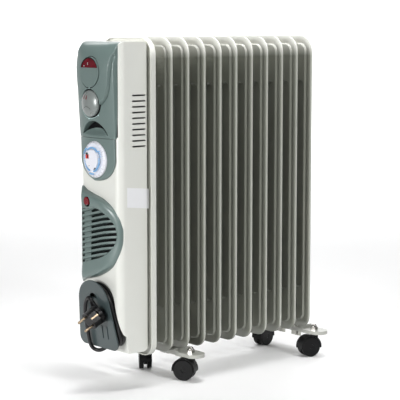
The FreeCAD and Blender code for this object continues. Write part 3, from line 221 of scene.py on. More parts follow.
def make_materials():
    """Every material of the heater by its key in LOOKS."""
    # Painted highlight for the fins' top flange, brighter than the housing's own paint.
    flange_highlight = lin(250, 250, 243)
    looks = {
        "paint": finish("cream_paint", lin(214, 215, 209), 0.30, 300.0, 2.0, 0.003, 9.0, coat=0.3,
                        uneven=0.02),
        # The feet's cream paint, made darker here as painted shade.
        "foot": finish("foot_paint", lin(168, 169, 162), 0.30, 900.0, 4.0, 0.01, 9.0, coat=0.3),
        # The fins' tones are lit and shaded copies of one paint: painted shade in the gaps, lighter
        # rims and the painted highlight on top; the first fin's are lighter.
        "fin_paint": fin_finish("fin_paint", lin(142, 144, 134), lin(176, 178, 169), flange_highlight),
        "first_fin": fin_finish("first_fin_paint_and_shade", lin(190, 191, 183), lin(206, 207, 200),
                                flange_highlight),
        "panel": finish("panel_plastic", lin(101, 117, 114), 0.34, 400.0, 2.0, 0.01, 22.0,
                        coat=0.2, uneven=0.04),
        # The flap is the panel's plastic, made darker here as painted shade because it leans down.
        "flap": finish("flap_plastic", lin(60, 71, 72), 0.34, 400.0, 2.0, 0.01, 22.0, coat=0.2,
                       uneven=0.04),
        "knob": finish("knob_satin", lin(130, 136, 134), 0.30, 900.0, 0.4, 0.01, 20.0,
                       metallic=0.2, coat=0.3),
        "white": finish("dial_white", lin(222, 223, 230), 0.35, 2200.0, 4.0, 0.008, 40.0),
        "blue": finish("tappet_blue", lin(140, 190, 232), 0.38, 2200.0, 6.0, 0.05, 160.0),
        "red": finish("button_red", lin(110, 4, 20), 0.25, 400.0, 2.0, 0.06, 120.0, coat=0.3),
        "bright_red": finish("key_red", lin(225, 60, 45), 0.35, 2000.0, 4.0, 0.04, 200.0),
        "black": finish("black_plastic", lin(7, 7, 8), 0.36, 1600.0, 8.0, 0.10, 30.0,
                        specular=0.2),
        "tyre": finish("tyre_rubber", lin(7, 7, 8), 0.42, 1100.0, 10.0, 0.12, 26.0,
                       specular=0.2),
        "cord": finish("cord_rubber", lin(17, 16, 18), 0.34, 900.0, 8.0, 0.12, 30.0),
        "nickel": finish("nickel", lin(150, 148, 144), 0.22, 1800.0, 4.0, 0.05, 50.0,
                         metallic=1.0),
        "zinc": finish("zinc_plate", lin(200, 199, 192), 0.36, 1400.0, 10.0, 0.08, 60.0,
                       metallic=1.0),
        "brass": finish("pin_plating", lin(158, 140, 118), 0.38, 1800.0, 4.0, 0.05, 60.0,
                        metallic=1.0),
        "steel": finish("steel_sheet", lin(150, 152, 152), 0.40, 900.0, 12.0, 0.08, 30.0,
                        metallic=1.0),
        # Black of the parts inside, also used for black pieces that stand as painted shade in gaps
        # and recesses.
        "inner": finish("inner_black_and_shade", lin(13, 13, 15), 0.6, 1200.0, 12.0, 0.08, 25.0, specular=0.1),
        "label": finish("label_film", lin(226, 227, 229), 0.40, 2000.0, 2.0, 0.006, 60.0),
        "lens": lens_finish("red_lens", lin(96, 0, 18)),
    }
    # Print colours; the pale one also makes painted glints on the lens, and the dark one painted
    # shade in the timer key's slot.
    for name, colour in (("pale_print_and_glint", lin(190, 214, 212)), ("mark_grey", lin(128, 130, 140)),
                         ("dark_print_and_shade", lin(40, 40, 44)), ("mark_red", lin(104, 40, 44))):
        looks[name] = finish(name, colour, 0.5, 2500.0, 4.0, 0.03, 200.0)
    return looks


LOOKS = {
    "paint": ["housing_shell", "housing_back"],
    "foot": ["foot_front", "foot_rear"],
    "panel": ["control_panel", "panel_disc", "timer_panel", "fan_grille"],
    "flap": ["cord_winder"],
    "knob": ["selector_knob"],
    "white": ["timer_ring", "timer_centre"],
    "blue": ["timer_tappets"],
    "bright_red": ["timer_switch"],
    "red": ["fan_button"],
    "lens": ["pilot_lens", "pilot_lamp"],
    "black": ["cord_gland", "plug_body"],
    "cord": ["cord_coil", "cord_tail"],
    "nickel": ["caster_nuts", "caster_stems"],
    "zinc": ["foot_clamps"],
    "brass": ["plug_pins"],
    "steel": ["heating_element", "filler_plug", "fan_scroll", "fan_motor"],
    "inner": ["thermostat", "timer_case", "fan_switch", "fan_impeller"],
}


def dress_nodes(looks):
    """Give every node carried over from the CAD its material."""
    chosen = {name: looks[key] for key, names in LOOKS.items() for name in names}
    for name, node in nodes.items():
        if name == "fin_01":
            material = looks["first_fin"]
        elif name.startswith("fin_"):
            material = looks["fin_paint"]
        elif name.startswith("caster_wheel"):
            material = looks["tyre"]
        elif name.startswith(("caster_hood", "caster_axle")):
            material = looks["black"]
        else:
            material = chosen[name]
        node.data.materials.clear()
        node.data.materials.append(material)


# ---------------------------------------------------------------- mesh helpers
def mesh_object(name, points, faces, material):
    data = bpy.data.meshes.new(name)
    data.from_pydata([tuple(p) for p in points], [], faces)
    data.materials.append(material)
    return link_new(name, data)


def closed_object(name, points, faces, material):
    """Mesh object whose faces all look outwards."""
    made = mesh_object(name, points, faces, material)
    mesh = bmesh.new()
    mesh.from_mesh(made.data)
    bmesh.ops.recalc_face_normals(mesh, faces=mesh.faces)
    mesh.to_mesh(made.data)
    mesh.free()
    return made


def join_plates(name, plates, material):
    """One mesh of several thin plates.

    A plate is an outline and a depth: its second face lies at the outline minus the depth.
    """
    points, faces = [], []
    for outline, depth in plates:
        first, count = len(points), len(outline)
        points += list(outline) + [p - depth for p in outline]
        faces.append(list(range(first, first + count)))
        faces.append(list(reversed(range(first + count, first + 2 * count))))
        for i in range(count):
            j = (i + 1) % count
            faces.append([first + j, first + i, first + count + i, first + count + j])
    return closed_object(name, points, faces, material)


def at(x, y, z):
    """Millimetres from the fins' middle to the heater's frame in metres."""
    return Vector((x / 1000 + SHIFT, y / 1000, z / 1000))


def along_x(millimetres):
    return Vector((millimetres / 1000, 0, 0))


def round_flat(y, z, radius, count):
    """Circle in the (y, z) plane."""
    return [(y + radius * math.cos(2 * math.pi * i / count),
             z + radius * math.sin(2 * math.pi * i / count)) for i in range(count)]


def arc_flat(z, radius, start, end, count):
    """Arc about y = 0 in the (y, z) plane; the angles are in degrees, from +Y towards +Z."""
    angles = [math.radians(start + (end - start) * i / count) for i in range(count + 1)]
    return [(radius * math.cos(a), z + radius * math.sin(a)) for a in angles]


def disc_outline(x, y, z, radius):
    return [at(x, *point) for point in round_flat(y, z, radius, 20)]


def prism(name, flat, x0, x1, material):
    """Prism along X between x0 and x1; the outline is (y, z)."""
    return join_plates(name, [([at(x0, y, z) for y, z in flat], along_x(x0 - x1))], material)


def smooth_by_angle(made, degrees):
    for face in made.data.polygons:
        face.use_smooth = True
    made.data.set_sharp_from_angle(angle=math.radians(degrees))


def lathe_x(name, profile, z, material, count):
    """Turned piece about an X axis at y = 0 and a height z; the profile is (x, radius)."""
    points, faces, rows = [], [], []
    for x, radius in profile:
        flat = round_flat(0.0, z, radius, count) if radius else [(0.0, z)]
        rows.append(range(len(points), len(points) + len(flat)))
        points += [at(x, *point) for point in flat]
    for first, second in zip(rows, rows[1:]):
        for i in range(count):
            j = (i + 1) % count
            ring = [first[i % len(first)], first[j % len(first)],
                    second[j % len(second)], second[i % len(second)]]
            faces.append(list(dict.fromkeys(ring)))
    made = closed_object(name, points, faces, material)
    smooth_by_angle(made, 40.0)
    return made


def washer(name, x0, x1, inner, outer, z, material, count):
    """Flat ring about an X axis, from x0 to x1."""
    profile = [(x0, inner), (x0, outer), (x1, outer), (x1, inner), (x0, inner)]
    return lathe_x(name, profile, z, material, count)


def block(name, rows, material):
    """Solid whose closed sections are the rows, one above the other."""
    wide = len(rows[0])
    points = [p for row in rows for p in row]
    faces = []
    for r in range(len(rows) - 1):
        for c in range(wide):
            a = r * wide + c
            b = r * wide + (c + 1) % wide
            faces.append([a, b, b + wide, a + wide])
    faces.append(list(reversed(range(wide))))
    faces.append(list(range(len(points) - wide, len(points))))
    return closed_object(name, points, faces, material)


def combine(made, operation, others):
    """Cut the others from a piece, or keep what lies inside them, and store that as its mesh."""
    for other in others:
        cut = made.modifiers.new("cut", "BOOLEAN")
        cut.operation = operation
        cut.solver = "EXACT"
        cut.object = other
    bpy.context.view_layer.update()
    graph = bpy.context.evaluated_depsgraph_get()
    result = bpy.data.meshes.new_from_object(made.evaluated_get(graph))
    made.modifiers.clear()
    made.data = result
    mesh = bmesh.new()
    mesh.from_mesh(result)
    bmesh.ops.remove_doubles(mesh, verts=mesh.verts, dist=2 * MICRON)
    bmesh.ops.dissolve_degenerate(mesh, edges=mesh.edges, dist=MICRON)
    mesh.to_mesh(result)
    mesh.free()
    for other in others:
        bpy.data.objects.remove(other)
    smooth_by_angle(made, 32.0)


def cut_out(made, *others):
    combine(made, "DIFFERENCE", others)


def keep_inside(made, other):
    combine(made, "INTERSECT", [other])


def text_mesh(words, size, depth):
    """Flat letters as a mesh in their own XY plane, middle at the origin."""
    curve = bpy.data.curves.new("figure", "FONT")
    curve.body = words
    curve.size = size
    curve.extrude = depth
    curve.resolution_u = 2
    curve.align_x = "CENTER"
    curve.align_y = "CENTER"
    holder = link_new("figure", curve)
    bpy.context.view_layer.update()
    mesh = bpy.data.meshes.new_from_object(holder)
    bpy.data.objects.remove(holder)
    bpy.data.curves.remove(curve)
    return mesh


def join_meshes(name, meshes, material):
    """One object of several meshes, which are used up."""
    joined = bmesh.new()
    for mesh in meshes:
        joined.from_mesh(mesh)
        bpy.data.meshes.remove(mesh)
    data = bpy.data.meshes.new(name)
    joined.to_mesh(data)
    joined.free()
    data.materials.clear()
    data.materials.append(material)
    return link_new(name, data)


def fix_to(made, slot, *replaced, body="heater"):
    """Tie a piece to its body, in place of the named nodes if there are any. The slot is not used.
    """
    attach(made, body)
    if replaced:
        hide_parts(*replaced)


def between(value, table):
    """Value read from a table of (key, result) pairs, in a straight line between two keys."""
    if value <= table[0][0]:
        return table[0][1]
    for (k0, r0), (k1, r1) in zip(table, table[1:]):
        if value <= k1:
            return r0 + (r1 - r0) * (value - k0) / (k1 - k0)
    return table[-1][1]


def step(value, low, high):
    """0 below low and 1 above high, with a soft rise between them."""
    part = min(1.0, max(0.0, (value - low) / (high - low)))
    return part * part * (3 - 2 * part)


# ---------------------------------------------------------------- control panel
# Tables by height z: the panels' front at their sides, the bulge of their middle in front of
# that, and the half widths of the raised field and of the control panel.
LIP_X = [(381, -269.6), (433, -270.0), (470, -270.8), (507, -272.4), (534, -273.6), (561, -274.6),
         (578, -274.8)]
CROWN = [(381, 6.0), (440, 6.5), (505, 9.5), (640, 9.5)]
CROWN_POWER = 2.4
FIELD_EDGE = [(512, 0.0), (516, 20.0), (521, 27.0), (525, 32.0), (530, 36.5), (536, 40.0),
              (545, 43.0), (556, 45.2), (579, 47.4), (596, 49.0), (607, 51.0), (613, 54.0),
              (617, 60.0)]
FIELD_RISE = 4.2
FIELD_GROOVE = 2.2
PANEL_SIDE = [(459, 52.3), (480, 53.6), (520, 54.4)]
ROLL_CENTRE = (-254.0, 578.2)   # x and z about which the panel rolls back over its top
ROLL_REACH = (20.8, 53.1)
SKIRT_X = -265.6                # back edge of the panels' sides
SIDE_ROUND = 2.4                # rounding from the front to the sides
SEAM_Z = 459.3                  # between the timer panel and the control panel
ROW_GAP = 1.25
KNOB_Z = 521.5
LAMP_Z = 577.0
DIAL_Z = 420.0
AHEAD = -300.0                  # in front of everything, where the cutters start
GRIP_HALF = 38.0                # half width of the dip round the hand hold
GRIP_DEPTH = 10.5
GRIP_END_Z = 492.0
TIMER_HALF = 51.3
TIMER_BOTTOM = 381.5
TIMER_GAP = 0.8                 # below the seam
TIMER_BACK = 2.9                # how much shallower the timer panel's sides are
TIMER_ARC = (422.0, 40.7)       # height of the rounded bottom's middle, and its depth


def quarter(count):
    """Angles from zero to a right angle."""
    return [math.pi / 2 * i / count for i in range(count + 1)]


def arch_top(y):
    """Upper edge of the hand hold."""
    return 464.5 + 24.5 * max(0.0, 1 - (y / 37.5) ** 2) ** 0.75


def arch_bottom(y):
    """Lower edge of the hand hold."""
    return 463.6 + 13.2 * (1 - (abs(y) / GRIP_HALF) ** 2.2)


def front_x(lip_x, y, z, half, flat):
    """Front of a panel at one place, with its bulge, raised field, groove and hand hold."""
    x = lip_x - between(z, CROWN) * flat * (1 - (y / half) ** CROWN_POWER)
    edge = between(z, FIELD_EDGE)
    if z > FIELD_EDGE[0][0]:
        x -= FIELD_RISE * flat * step(edge - y, -1.0, 0.9)
        x += FIELD_GROOVE * flat * step(edge - y, -3.2, -1.6) * step(y - edge, 0.0, 1.2)
    if z < GRIP_END_Z and y < GRIP_HALF:
        x += (GRIP_DEPTH * step(z, 461.0, 477.0) * (1 - (y / GRIP_HALF) ** 2) ** 0.6
              * step(arch_top(y) - z, -0.6, 0.6))
    return x


def section(lip_x, z, half, skirt_x, flat=1.0):
    """Points (x, y) across a panel at one height, from the side at +Y to the side at -Y.

    flat takes the bulge and the field down to nothing over the panel's top.
    """
    flat_half = half - SIDE_ROUND
    row = [(front_x(lip_x, flat_half * i / 64, z, half, flat), flat_half * i / 64)
           for i in range(65)]
    start = row[-1][0]
    row += [(start + SIDE_ROUND * (1 - math.cos(a)) * 1.1, flat_half + SIDE_ROUND * math.sin(a))
            for a in quarter(5)[1:]]
    start = row[-1][0]
    back = max(skirt_x, start + 0.2)
    row += [(start + (back - start) * i / 4, half) for i in range(1, 5)]
    return list(reversed(row)) + [(x, -y) for x, y in row[1:]]


def add_control_panel(looks):
    rows = []
    z = SEAM_Z
    while z < ROLL_CENTRE[1]:
        across = section(between(z, LIP_X), z, between(z, PANEL_SIDE), SKIRT_X)
        rows.append([at(x, y, z) for x, y in across])
        z += ROW_GAP
    for angle in quarter(44):
        lip = ROLL_CENTRE[0] - ROLL_REACH[0] * math.cos(angle)
        z = ROLL_CENTRE[1] + ROLL_REACH[1] * math.sin(angle)
        skirt = SKIRT_X + (ROLL_CENTRE[0] - SKIRT_X) * (1 - math.cos(angle))
        across = section(lip, z, PANEL_SIDE[-1][1], skirt, math.cos(angle) ** 0.8)
        rows.append([at(x, y, z) for x, y in across])
    panel = block("front_panel", rows, looks["panel"])
    across = [-37.0 + 74.0 * i / 40 for i in range(41)]
    grip = [(y, arch_top(y)) for y in across] + [(-y, arch_bottom(y)) for y in across]
    holes = [prism("cut_grip", grip, AHEAD, -262.0, looks["inner"])]
    for name, z, radius, count, x0, x1 in (("cut_dish", KNOB_Z, 26.0, 96, AHEAD, -281.2),
                                           ("cut_shaft", KNOB_Z, 4.0, 64, -284.0, -262.0),
                                           ("cut_disc", LAMP_Z, 28.9, 96, AHEAD, -282.6),
                                           ("cut_lamp", 594.0, 4.0, 64, AHEAD, -262.0)):
        holes.append(prism(name, round_flat(0.0, z, radius, count), x0, x1, looks["panel"]))
    cut_out(panel, *holes)
    fix_to(panel, "panel_plastic", "control_panel")

    # Black pieces as painted shade: under the panel's edges, in the knob's dish and the lamp's
    # seat, over the top of the lens, and behind the hand hold.
    inner = looks["inner"]
    foot = [(-53.7, 462.0), (53.7, 462.0), (53.7, 612.0), (-53.7, 612.0)]
    lens_shadow_arc = arc_flat(LAMP_Z, 26.9, 22, 158, 24) + arc_flat(LAMP_Z - 1.4, 26.0, 158, 22, 24)
    grip_shade_outline = [(-44.0, 462.5), (44.0, 462.5), (44.0, 496.0), (-44.0, 496.0)]
    for made in (prism("panel_shadow_foot", foot, -266.5, -261.5, inner),
                 washer("dish_shade", -281.5, -280.9, 20.0, 25.9, KNOB_Z, inner, 72),
                 washer("seat_shade", -283.0, -282.4, 24.0, 28.8, LAMP_Z, inner, 72),
                 prism("lens_top_shadow", lens_shadow_arc, -288.1, -286.5, inner),
                 prism("grip_shade", grip_shade_outline, -266.0, -264.0, inner)):
        fix_to(made, "inner_plastic")


def add_timer_panel(looks):
    middle, depth = TIMER_ARC
    rows = []
    for angle in quarter(60):
        z = TIMER_BOTTOM + (SEAM_Z - TIMER_GAP - TIMER_BOTTOM) * (1 - math.cos(angle))
        half = TIMER_HALF
        if z < middle:
            half = TIMER_HALF * math.sqrt(max(0.0, 1 - ((middle - z) / depth) ** 2)) + 0.2
        across = section(between(z, LIP_X), z, TIMER_HALF, SKIRT_X - TIMER_BACK)
        rows.append([at(x, y * half / TIMER_HALF, z) for x, y in across])
    panel = block("timer_front", rows, looks["panel"])
    cut_out(panel, prism("cut_dial", round_flat(0.0, DIAL_Z, 33.5, 96), AHEAD, -255.0,
                         looks["panel"]))
    fix_to(panel, "panel_plastic", "timer_panel")

    # Black foot under the timer panel, as painted shade in the gap round its edge.
    outline = [(TIMER_HALF, 458.0), (-TIMER_HALF, 458.0)]
    outline += [(-TIMER_HALF * math.cos(math.pi * i / 40),
                 middle - depth * math.sin(math.pi * i / 40)) for i in range(41)]
    share, still = 0.955, 421.0    # the foot is the outline drawn in towards its middle
    foot = prism("timer_shadow_foot", [(y * share, still + (z - still) * share) for y, z in outline],
                 -269.2, -262.0, looks["inner"])
    cut_out(foot, prism("cut_foot", round_flat(0.0, DIAL_Z, 33.6, 64), AHEAD, -255.0,
                        looks["inner"]))
    fix_to(foot, "inner_plastic")


# ---------------------------------------------------------------- controls
KNOB_DOME = [(0.0, -294.8), (4.0, -294.6), (8.0, -294.1), (12.0, -293.2), (16.0, -291.9),
             (19.5, -290.4), (22.0, -288.9)]    # (radius, x) of the knob's front
KNOB_SIDE = [(-282.4, 0), (-282.4, 23.4), (-285.0, 24.0), (-286.6, 23.9), (-288.0, 23.2)]
FLAME = [(0, 5.0), (1.1, 1.8), (1.5, -1.2), (0.9, -3.2), (-0.9, -3.2), (-1.5, -1.2), (-0.9, 1.8)]
DIAL_STEPS = 48
HELD_OUT = (3, 4, 5, 6)         # the keys that are out in each third of the dial
RING_SLOPE = math.radians(45)   # of the ring that carries the figures
FIGURE_SIZE, FIGURE_DEPTH = 0.0026, 0.0001              # in metres
FIGURE_RADIUS, FIGURE_FRONT = 0.0314, 0.2787            # in metres
HOUSING_SIDE = -60.0
SCALE_ARC = [(31.2, 511.5), (29.6, 506.6), (25.8, 500.3), (19.3, 495.9), (10.4, 493.3),
             (1.9, 493.9), (-7.3, 496.2), (-18.0, 500.5)]


def knob_place(y, z):
    """Point just in front of the knob's dome."""
    return at(between(math.hypot(y, z - KNOB_Z), KNOB_DOME) - 0.12, y, z)


def add_knob(looks):
    profile = KNOB_SIDE + [(x, radius) for radius, x in reversed(KNOB_DOME)]
    knob = lathe_x("knob_cap", profile, KNOB_Z, looks["knob"], 96)
    fix_to(knob, "knob_plastic", "selector_knob", body="knob")
    shaft = lathe_x("knob_shaft", [(-283.0, 0), (-283.0, 3.0), (-255.0, 3.0), (-255.0, 0)], KNOB_Z,
                    looks["knob"], 24)
    fix_to(shaft, "knob_plastic", body="knob")

    plates = [([knob_place(y + dy, z + dz) for dy, dz in FLAME], along_x(0.4))
              for y, z in ((9.0, 532.5), (1.0, 531.5))]
    fix_to(join_plates("knob_flames", plates, looks["mark_red"]), "knob_plastic", body="knob")
    arc = [(-10.0 + 20.0 * i / 16, 511.5 + 4.5 * math.cos(math.pi * (i - 8) / 16))
           for i in range(17)]
    plates = [([knob_place(y0, z0 + 0.25), knob_place(y1, z1 + 0.25),
                knob_place(y1, z1 - 0.25), knob_place(y0, z0 - 0.25)], along_x(0.4))
              for (y0, z0), (y1, z1) in zip(arc, arc[1:])]
    fix_to(join_plates("knob_arc", plates, looks["dark_print_and_shade"]), "knob_plastic", body="knob")


def dial_bar(x, index, inner, outer, inner_half, outer_half):
    """Bar that points out from the dial's middle, at one of its steps."""
    angle = 2 * math.pi * index / DIAL_STEPS
    corners = ((inner, inner_half), (outer, outer_half), (outer, -outer_half),
               (inner, -inner_half))
    return [at(x, r * math.cos(angle) - w * math.sin(angle),
               DIAL_Z + r * math.sin(angle) + w * math.cos(angle)) for r, w in corners]


def add_dial(looks):
    keys, ticks = [], []
    for index in range(DIAL_STEPS):
        out = 4.4 if index % 16 in HELD_OUT else 0.0
        keys.append((dial_bar(-281.4, index, 20.2 + out, 23.0 + out, 0.60, 0.66), along_x(2.8)))
        long = 1.5 if index % 2 == 0 else 0.8
        ticks.append((dial_bar(-280.06, index, 28.9, 28.9 + long, 0.16, 0.16), along_x(0.3)))
    fix_to(join_plates("tappet_ring", keys, looks["blue"]), "tappet_blue", "timer_tappets",
           body="timer_dial")
    floor = washer("tappet_floor", -278.3, -277.0, 19.0, 28.4, DIAL_Z, looks["white"], 96)
    fix_to(floor, "timer_white", body="timer_dial")
    fix_to(join_plates("dial_ticks", ticks, looks["mark_grey"]), "timer_white", body="timer_dial")

    figures = []
    facing = Matrix(((0, 0, -1, 0), (-1, 0, 0, 0), (0, 1, 0, 0), (0, 0, 0, 1)))    # to look at -X
    for hour in range(1, 25):
        mesh = text_mesh(str(hour), FIGURE_SIZE, FIGURE_DEPTH)
        for move in (Matrix.Rotation(-RING_SLOPE, 4, "X"),
                     Matrix.Translation((0, FIGURE_RADIUS, FIGURE_FRONT)),
                     Matrix.Rotation(-2 * math.pi * hour / 24, 4, "Z"),
                     facing,
                     Matrix.Translation(at(0, 0, DIAL_Z))):
            mesh.transform(move)
        figures.append(mesh)
    fix_to(join_meshes("dial_figures", figures, looks["mark_grey"]), "timer_white",
           body="timer_dial")

    x = -285.1                  # just in front of the dial's middle
    signs = [disc_outline(x, 6.0, 408.5, 0.9), disc_outline(x, -8.0, 403.5, 0.8),
             [at(x, -11.5, 402.5), at(x, -9.0, 406.5), at(x, -13.5, 405.5)]]
    plates = [(loop, along_x(0.3)) for loop in signs]
    fix_to(join_plates("centre_dots", plates, looks["dark_print_and_shade"]), "timer_white")
    # Dark strip as painted shade in the slot of the timer key.
    slot_shade = [at(-285.25, y, z) for y, z in ((9.6, 421.6), (15.4, 421.6), (15.4, 432.0),
                                            (9.6, 432.0))]
    fix_to(join_plates("key_slot_shade", [(slot_shade, along_x(0.6))], looks["dark_print_and_shade"]), "timer_white")


def face_x(y, z):
    """Just in front of the panel, at a place right of or below the raised field."""
    return between(z, LIP_X) - between(z, CROWN) * (1 - (abs(y) / 54.0) ** CROWN_POWER) - 0.15


def add_marks(looks):
    thick = along_x(0.4)
    plates = []
    for (y0, z0), (y1, z1) in zip(SCALE_ARC, SCALE_ARC[1:]):
        for i in range(3):
            (ya, za), (yb, zb) = [(y0 + (y1 - y0) * part, z0 + (z1 - z0) * part)
                                  for part in (i / 3, (i + 0.8) / 3)]
            loop = [(ya, za + 0.4), (yb, zb + 0.4), (yb, zb - 0.4), (ya, za - 0.4)]
            plates.append(([at(face_x(y, z), y, z) for y, z in loop], thick))
    for y, z in (SCALE_ARC[0], SCALE_ARC[4], SCALE_ARC[-1]):
        plates.append((disc_outline(face_x(y, z), y, z, 1.4), thick))
    plates.append((disc_outline(-287.3, 0.0, 549.0, 1.2), thick))
    fix_to(join_plates("knob_scale", plates, looks["pale_print_and_glint"]), "panel_plastic")
    # Two pale patches as painted glints on the red lens.
    glint_plates = [([at(-287.7, y - w, z - h), at(-287.7, y + w, z - h), at(-287.7, y + w, z + h),
               at(-287.7, y - w, z + h)], thick)
             for y, z, w, h in ((4.0, 592.0, 0.5, 2.2), (15.0, 588.0, 0.9, 0.9))]
    fix_to(join_plates("lens_glints", glint_plates, looks["pale_print_and_glint"]), "lens")
    film = Vector((0, -0.0003, 0))
    label = [at(x, HOUSING_SIDE, z) + film for x, z in ((-249.5, 336.0), (-200.5, 330.5),
                                                 (-200.5, 366.5), (-249.5, 371.5))]
    fix_to(join_plates("blank_label", [(label, film)], looks["label"]), "timer_white")


# ---------------------------------------------------------------- fan grille
BEZEL = [(53.7, 366.5), (35, 361.4), (16.5, 356.3), (-14, 348.6), (-41, 335.0), (-54.0, 319),
         (-58.4, 302), (-59.2, 287.0), (-58.4, 266), (-54.3, 248.7), (-44.5, 231.5), (-24, 216.9),
         (3.6, 204.9), (38, 195.6), (54, 191.5), (54, 230), (54, 275), (54, 320)]
OPENING = [(53, 325), (40, 327), (20, 330), (-6, 332), (-28, 324), (-41.5, 314), (-49.5, 301),
           (-52, 288), (-50.5, 274), (-43, 260.5), (-31, 249.5), (-14, 242), (8, 236), (34, 229),
           (53, 225), (53, 250), (53, 275), (53, 300)]
HOUSING_FACE = -267.0
CORNER_Y, CORNER_RADIUS = 46.0, 14.0       # the housing's rounded upright corner
BEZEL_FACE = -281.0
BEZEL_FLAT = (-18.0, 38.0)                 # where the bezel's front is flat across
GRILLE_HALF = 62                           # beyond the grille on both sides
BUTTON = (21.0, 341.6)
SLAT_COUNT, SLAT_PITCH = 10, 9.75
SLAT_START = 238.0                         # height of the lowest slat at SLAT_Y
SLAT_Y = 33
SLAT_FALL = math.tan(math.radians(13))     # the slats fall towards +Y
SLAT_SECTION = [(-284.0, 2.3), (-266.0, -1.6), (-266.0, -5.6), (-284.0, -1.7)]


def housing_x(y):
    """Front of the housing with its rounded upright corner."""
    over = min(CORNER_RADIUS, max(0.0, abs(y) - CORNER_Y))
    return HOUSING_FACE + CORNER_RADIUS - math.sqrt(CORNER_RADIUS ** 2 - over * over)


def bezel_x(y):
    """Front of the bezel: flat in the middle, falling to both sides."""
    right, left = BEZEL_FLAT
    if y > left:
        return BEZEL_FACE + 13.0 * (y - left) / 16
    if y > right:
        return BEZEL_FACE
    return BEZEL_FACE + 16.5 * ((right - y) / 41.0) ** 1.9


def smooth_loop(flat):
    """Closed Catmull-Rom curve through flat points."""
    loop = []
    count, steps = len(flat), 6
    for i in range(count):
        p0, p1, p2, p3 = (flat[(i + k) % count] for k in (-1, 0, 1, 2))
        for j in range(steps):
            t = j / steps
            loop.append(tuple(0.5 * (2 * b + (c - a) * t + (2 * a - 5 * b + 4 * c - d) * t * t
                                     + (3 * b - a - 3 * c + d) * t ** 3)
                              for a, b, c, d in zip(p0, p1, p2, p3)))
    return loop


def mixed_loop(first, second, part):
    """Loop at a share of the way from one loop to another."""
    return [(a[0] + (b[0] - a[0]) * part, a[1] + (b[1] - a[1]) * part)
            for a, b in zip(first, second)]


def bowed_block(name, front, back, material):
    """Upright solid between two curves of x against y, taller than the grille."""
    ys = range(GRILLE_HALF, -GRILLE_HALF - 1, -2)
    rows = [[at(front(y), y, z) for y in ys] + [at(back(y), y, z) for y in reversed(ys)]
            for z in (190.0, 370.0)]
    return block(name, rows, material)


def grille_ring(outer, inner, material):
    """The bezel: a ring of sections, each a share of the way in to the opening, and its x."""
    stations = [(0.0, lambda y: housing_x(y) + 0.6),
                (0.0, lambda y: housing_x(y) - 1.2),
                (0.03, lambda y: bezel_x(y) * 0.62 + (housing_x(y) - 1.0) * 0.38),
                (0.12, lambda y: bezel_x(y) * 0.9 + housing_x(y) * 0.1),
                (0.24, lambda y: bezel_x(y) + 0.3),
                (0.34, bezel_x),
                (0.46, lambda y: bezel_x(y) + 0.1),
                (0.80, lambda y: bezel_x(y) + 1.0),
                (1.0, lambda y: bezel_x(y) + 1.8),
                (1.0, lambda y: housing_x(y) - 0.4)]
    points, faces = [], []
    for part, front in stations:
        points += [at(front(y), y, z) for y, z in mixed_loop(outer, inner, part)]
    wide = len(outer)
    for r in range(len(stations)):
        up = ((r + 1) % len(stations) - r) * wide
        for c in range(wide):
            a, b = r * wide + c, r * wide + (c + 1) % wide
            faces.append([a, b, b + up, a + up])
    return closed_object("grille_bezel", points, faces, material)


def grille_slats(material):
    far, near = GRILLE_HALF, -GRILLE_HALF
    along = Vector((0, (near - far) / 1000, (far - near) * SLAT_FALL / 1000))
    slats = []
    for index in range(SLAT_COUNT):
        lift = SLAT_START + SLAT_PITCH * index
        slats.append(([at(x, near, lift + z + (SLAT_Y - near) * SLAT_FALL)
                       for x, z in SLAT_SECTION], along))
    return join_plates("grille_blades", slats, material)


def add_grille(looks):
    panel, inner = looks["panel"], looks["inner"]
    bezel_loop, opening_loop = smooth_loop(BEZEL), smooth_loop(OPENING)
    bezel = grille_ring(bezel_loop, opening_loop, panel)
    cut_out(bezel, prism("cut_button", round_flat(*BUTTON, 9.6, 48), AHEAD, -276.0, inner))
    fix_to(bezel, "panel_plastic", "fan_grille")
    # Black floor in the button's recess as painted shade.
    well = prism("button_well_shade", round_flat(*BUTTON, 9.4, 48), -276.4, -275.0, inner)
    fix_to(well, "inner_plastic")

    opening = mixed_loop(bezel_loop, opening_loop, 1.03)
    blades = grille_slats(panel)
    room = bowed_block("keep_body", lambda y: bezel_x(y) + 1.6, lambda y: housing_x(y) - 0.8,
                       panel)
    keep_inside(room, prism("keep_opening", opening, AHEAD, -255.0, panel))
    keep_inside(blades, room)
    fix_to(blades, "panel_plastic")
    # Black sheet behind the slats as painted shade in the grille's opening.
    shadow_sheet = bowed_block("grille_shadow", lambda y: housing_x(y) - 0.9, lambda y: housing_x(y) + 0.4,
                       inner)
    keep_inside(shadow_sheet, prism("keep_dark", opening, AHEAD, -250.0, inner))
    fix_to(shadow_sheet, "inner_plastic")
    blank = bowed_block("grille_blank", lambda y: bezel_x(y) + 7.5, lambda y: bezel_x(y) + 9.0,
                        panel)
    side = [(60, 200), (60, 340), (15, 340), (20, 200)]
    keep_inside(blank, prism("keep_blank", side, AHEAD, -250.0, panel))
    keep_inside(blank, prism("keep_trim", opening, AHEAD, -250.0, panel))
    fix_to(blank, "panel_plastic")


